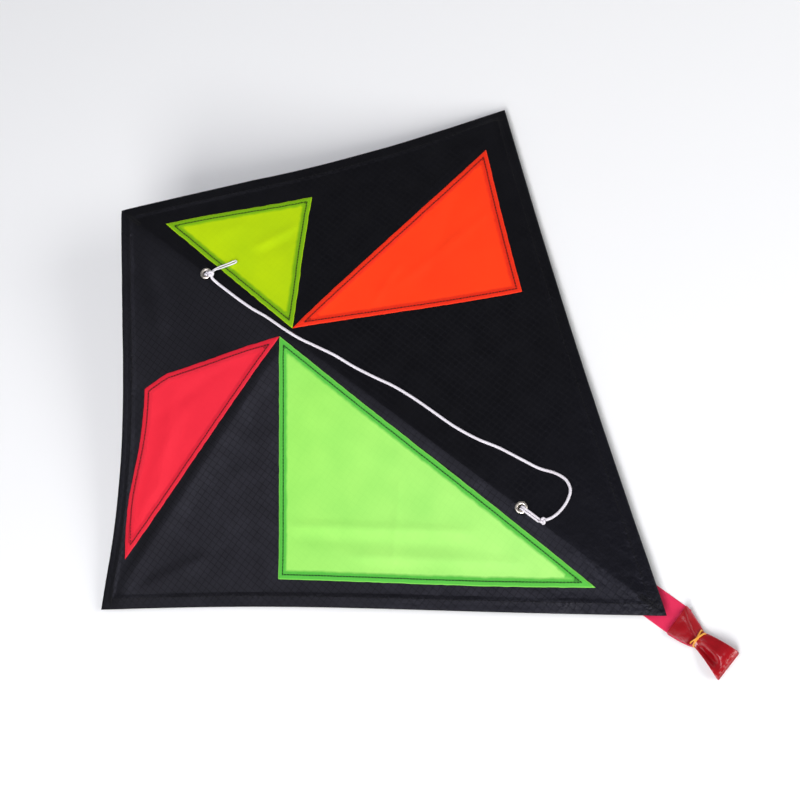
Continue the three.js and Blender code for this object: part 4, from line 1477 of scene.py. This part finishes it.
def bundle_points(layer_height, y, u):
    """Points of the bundle at a share of its height, y along it and u across it."""
    wide = np.where(u > 0, half_width(y, 1), half_width(y, -1))
    rise = 0.0012 * np.exp(-(((y - WAIST_Y) / 0.006) ** 2))
    z = 0.00035 + rise + (top_height(u, y) - 0.00035 - rise) * layer_height
    x = wide * u
    y = y + BUNDLE_SKEW * x
    cos, sin = math.cos(BUNDLE_TURN), math.sin(BUNDLE_TURN)
    placed = np.stack([cos * x - sin * y, sin * x + cos * y, z], -1)
    return placed + BUNDLE_PLACE + GROUND_TIP


def tail_bundle():
    """The ribbon folded back and forth on itself, layer on layer, and pinched at its waist."""
    u = np.linspace(-1, 1, 41)
    rows = []
    for layer in range(LAYERS):
        near_end = -0.0004 - 0.0011 * rng.random() * (layer < LAYERS - 1)
        far_end = -BUNDLE_LENGTH + 0.0004 + 0.0012 * rng.random() * (layer < LAYERS - 1)
        narrow = 1 + (0.07 * rng.random() - 0.02) * (layer < LAYERS - 1)
        level = layer / (LAYERS - 1)
        ys = near_end + (far_end - near_end) * (1 - np.cos(np.linspace(0, math.pi, 44))) / 2
        ys = ys if layer % 2 == 0 else ys[::-1]
        for y in ys:
            rows.append(bundle_points(level, np.full_like(u, y), u * narrow))
    grid = np.array(rows)
    steps = np.linalg.norm(np.diff(grid[:, 20], axis=0), axis=1)
    travelled = np.concatenate([[0], np.cumsum(steps)])
    flat = np.array([(v * RIBBON_WIDTH / 2, s) for s in travelled for v in u])
    points = grid.reshape(-1, 3)
    piece = film("tail_bundle_folds", len(rows), len(u), points, flat, GLOSS, MATTE)
    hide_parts("tail_bundle")
    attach(piece, "tail")


def rubber_band():
    """One thin band wound three times round the waist, its turns crossing on top."""
    turns, steps = 3, 540
    t = np.arange(steps) * 2 * math.pi * turns / steps
    squareness = 0.75
    x = 0.00665 * np.sign(np.cos(t)) * np.abs(np.cos(t)) ** squareness
    z = 0.0040 + 0.0033 * np.sign(np.sin(t)) * np.abs(np.sin(t)) ** squareness
    lift = 0.00045 * (1 + np.cos(t / turns * 2 + 0.6)) * np.clip(np.sin(t), 0, 1)
    y = WAIST_Y + 0.0006 * np.sin(t / turns + 0.4) + 0.0023 * np.cos(t) * np.cos(t / turns)
    cos, sin = math.cos(BUNDLE_TURN), math.sin(BUNDLE_TURN)
    path = np.stack([cos * x - sin * y, sin * x + cos * y, z + lift], 1) + BUNDLE_PLACE + GROUND_TIP
    side, up = frames(path, closed=True)
    angle = np.arange(12) * 2 * math.pi / 12
    rings = (path[:, None] + 0.00058 * np.cos(angle)[None, :, None] * side[:, None]
             + 0.00042 * np.sin(angle)[None, :, None] * up[:, None])
    piece = loft("rubber_band_turns", rings, [AMBER], round_trip=True)
    finished(piece, "tail", "rubber_band", "rubber_band")


tail_run()
tail_bundle()
rubber_band()

# ---- Floor and light ---------------------------------------------------------


def add_floor():
    half = 4.0
    floor = make("floor", [(-half, -half, 0), (half, -half, 0), (half, half, 0), (-half, half, 0)],
                 [(0, 1, 2, 3)], [floor_finish()])
    floor.location.z = -0.0001


def softbox(name, place, aim, width, height, power, colour=(1.0, 1.0, 1.0)):
    data = bpy.data.lights.new(name, "AREA")
    data.shape, data.size, data.size_y, data.energy = "RECTANGLE", width, height, power
    data.color = colour
    lamp = bpy.data.objects.new(name, data)
    lamp.location = place
    way = np.asarray(aim, float) - np.asarray(place, float)
    lamp.rotation_mode = "QUATERNION"
    lamp.rotation_quaternion = Vector(way).to_track_quat("-Z", "Y")
    bpy.context.scene.collection.objects.link(lamp)


def add_light():
    world = bpy.data.worlds.new("soft sky")
    world.use_nodes = True
    background = world.node_tree.nodes["Background"]
    background.inputs["Color"].default_value = (0.96, 0.98, 1.0, 1.0)
    # A room with pale walls and a darker ceiling.
    nodes, links = world.node_tree.nodes, world.node_tree.links
    ways, split, walls = (nodes.new(kind) for kind in
                          ("ShaderNodeTexCoord", "ShaderNodeSeparateXYZ", "ShaderNodeMapRange"))
    links.new(ways.outputs["Generated"], split.inputs[0])
    links.new(split.outputs["Z"], walls.inputs["Value"])
    for socket, value in {"From Min": 0.10, "From Max": 0.45, "To Min": 0.95, "To Max": 0.13}.items():
        walls.inputs[socket].default_value = value
    links.new(walls.outputs["Result"], background.inputs["Strength"])
    bpy.context.scene.world = world
    softbox("key", (-2.1, -1.9, 2.3), (0.0, 0.0, 0.0), 1.8, 1.8, 104.0)
    softbox("front fill", (1.4, -2.8, 2.0), (0.0, 0.0, 0.0), 2.0, 1.4, 64.0)
    softbox("ceiling panel", (-0.89, 0.24, 1.77), (-0.08, -0.10, 0.0), 0.8, 0.8, 8.5,
            (0.90, 0.90, 1.0))
    softbox("skylight", (-0.30, -0.02, 1.9), (0.0, -0.12, 0.03), 0.45, 0.9, 3.2, (0.88, 0.88, 1.0))
    bpy.context.scene.view_settings.view_transform = "Standard"


add_floor()
add_light()
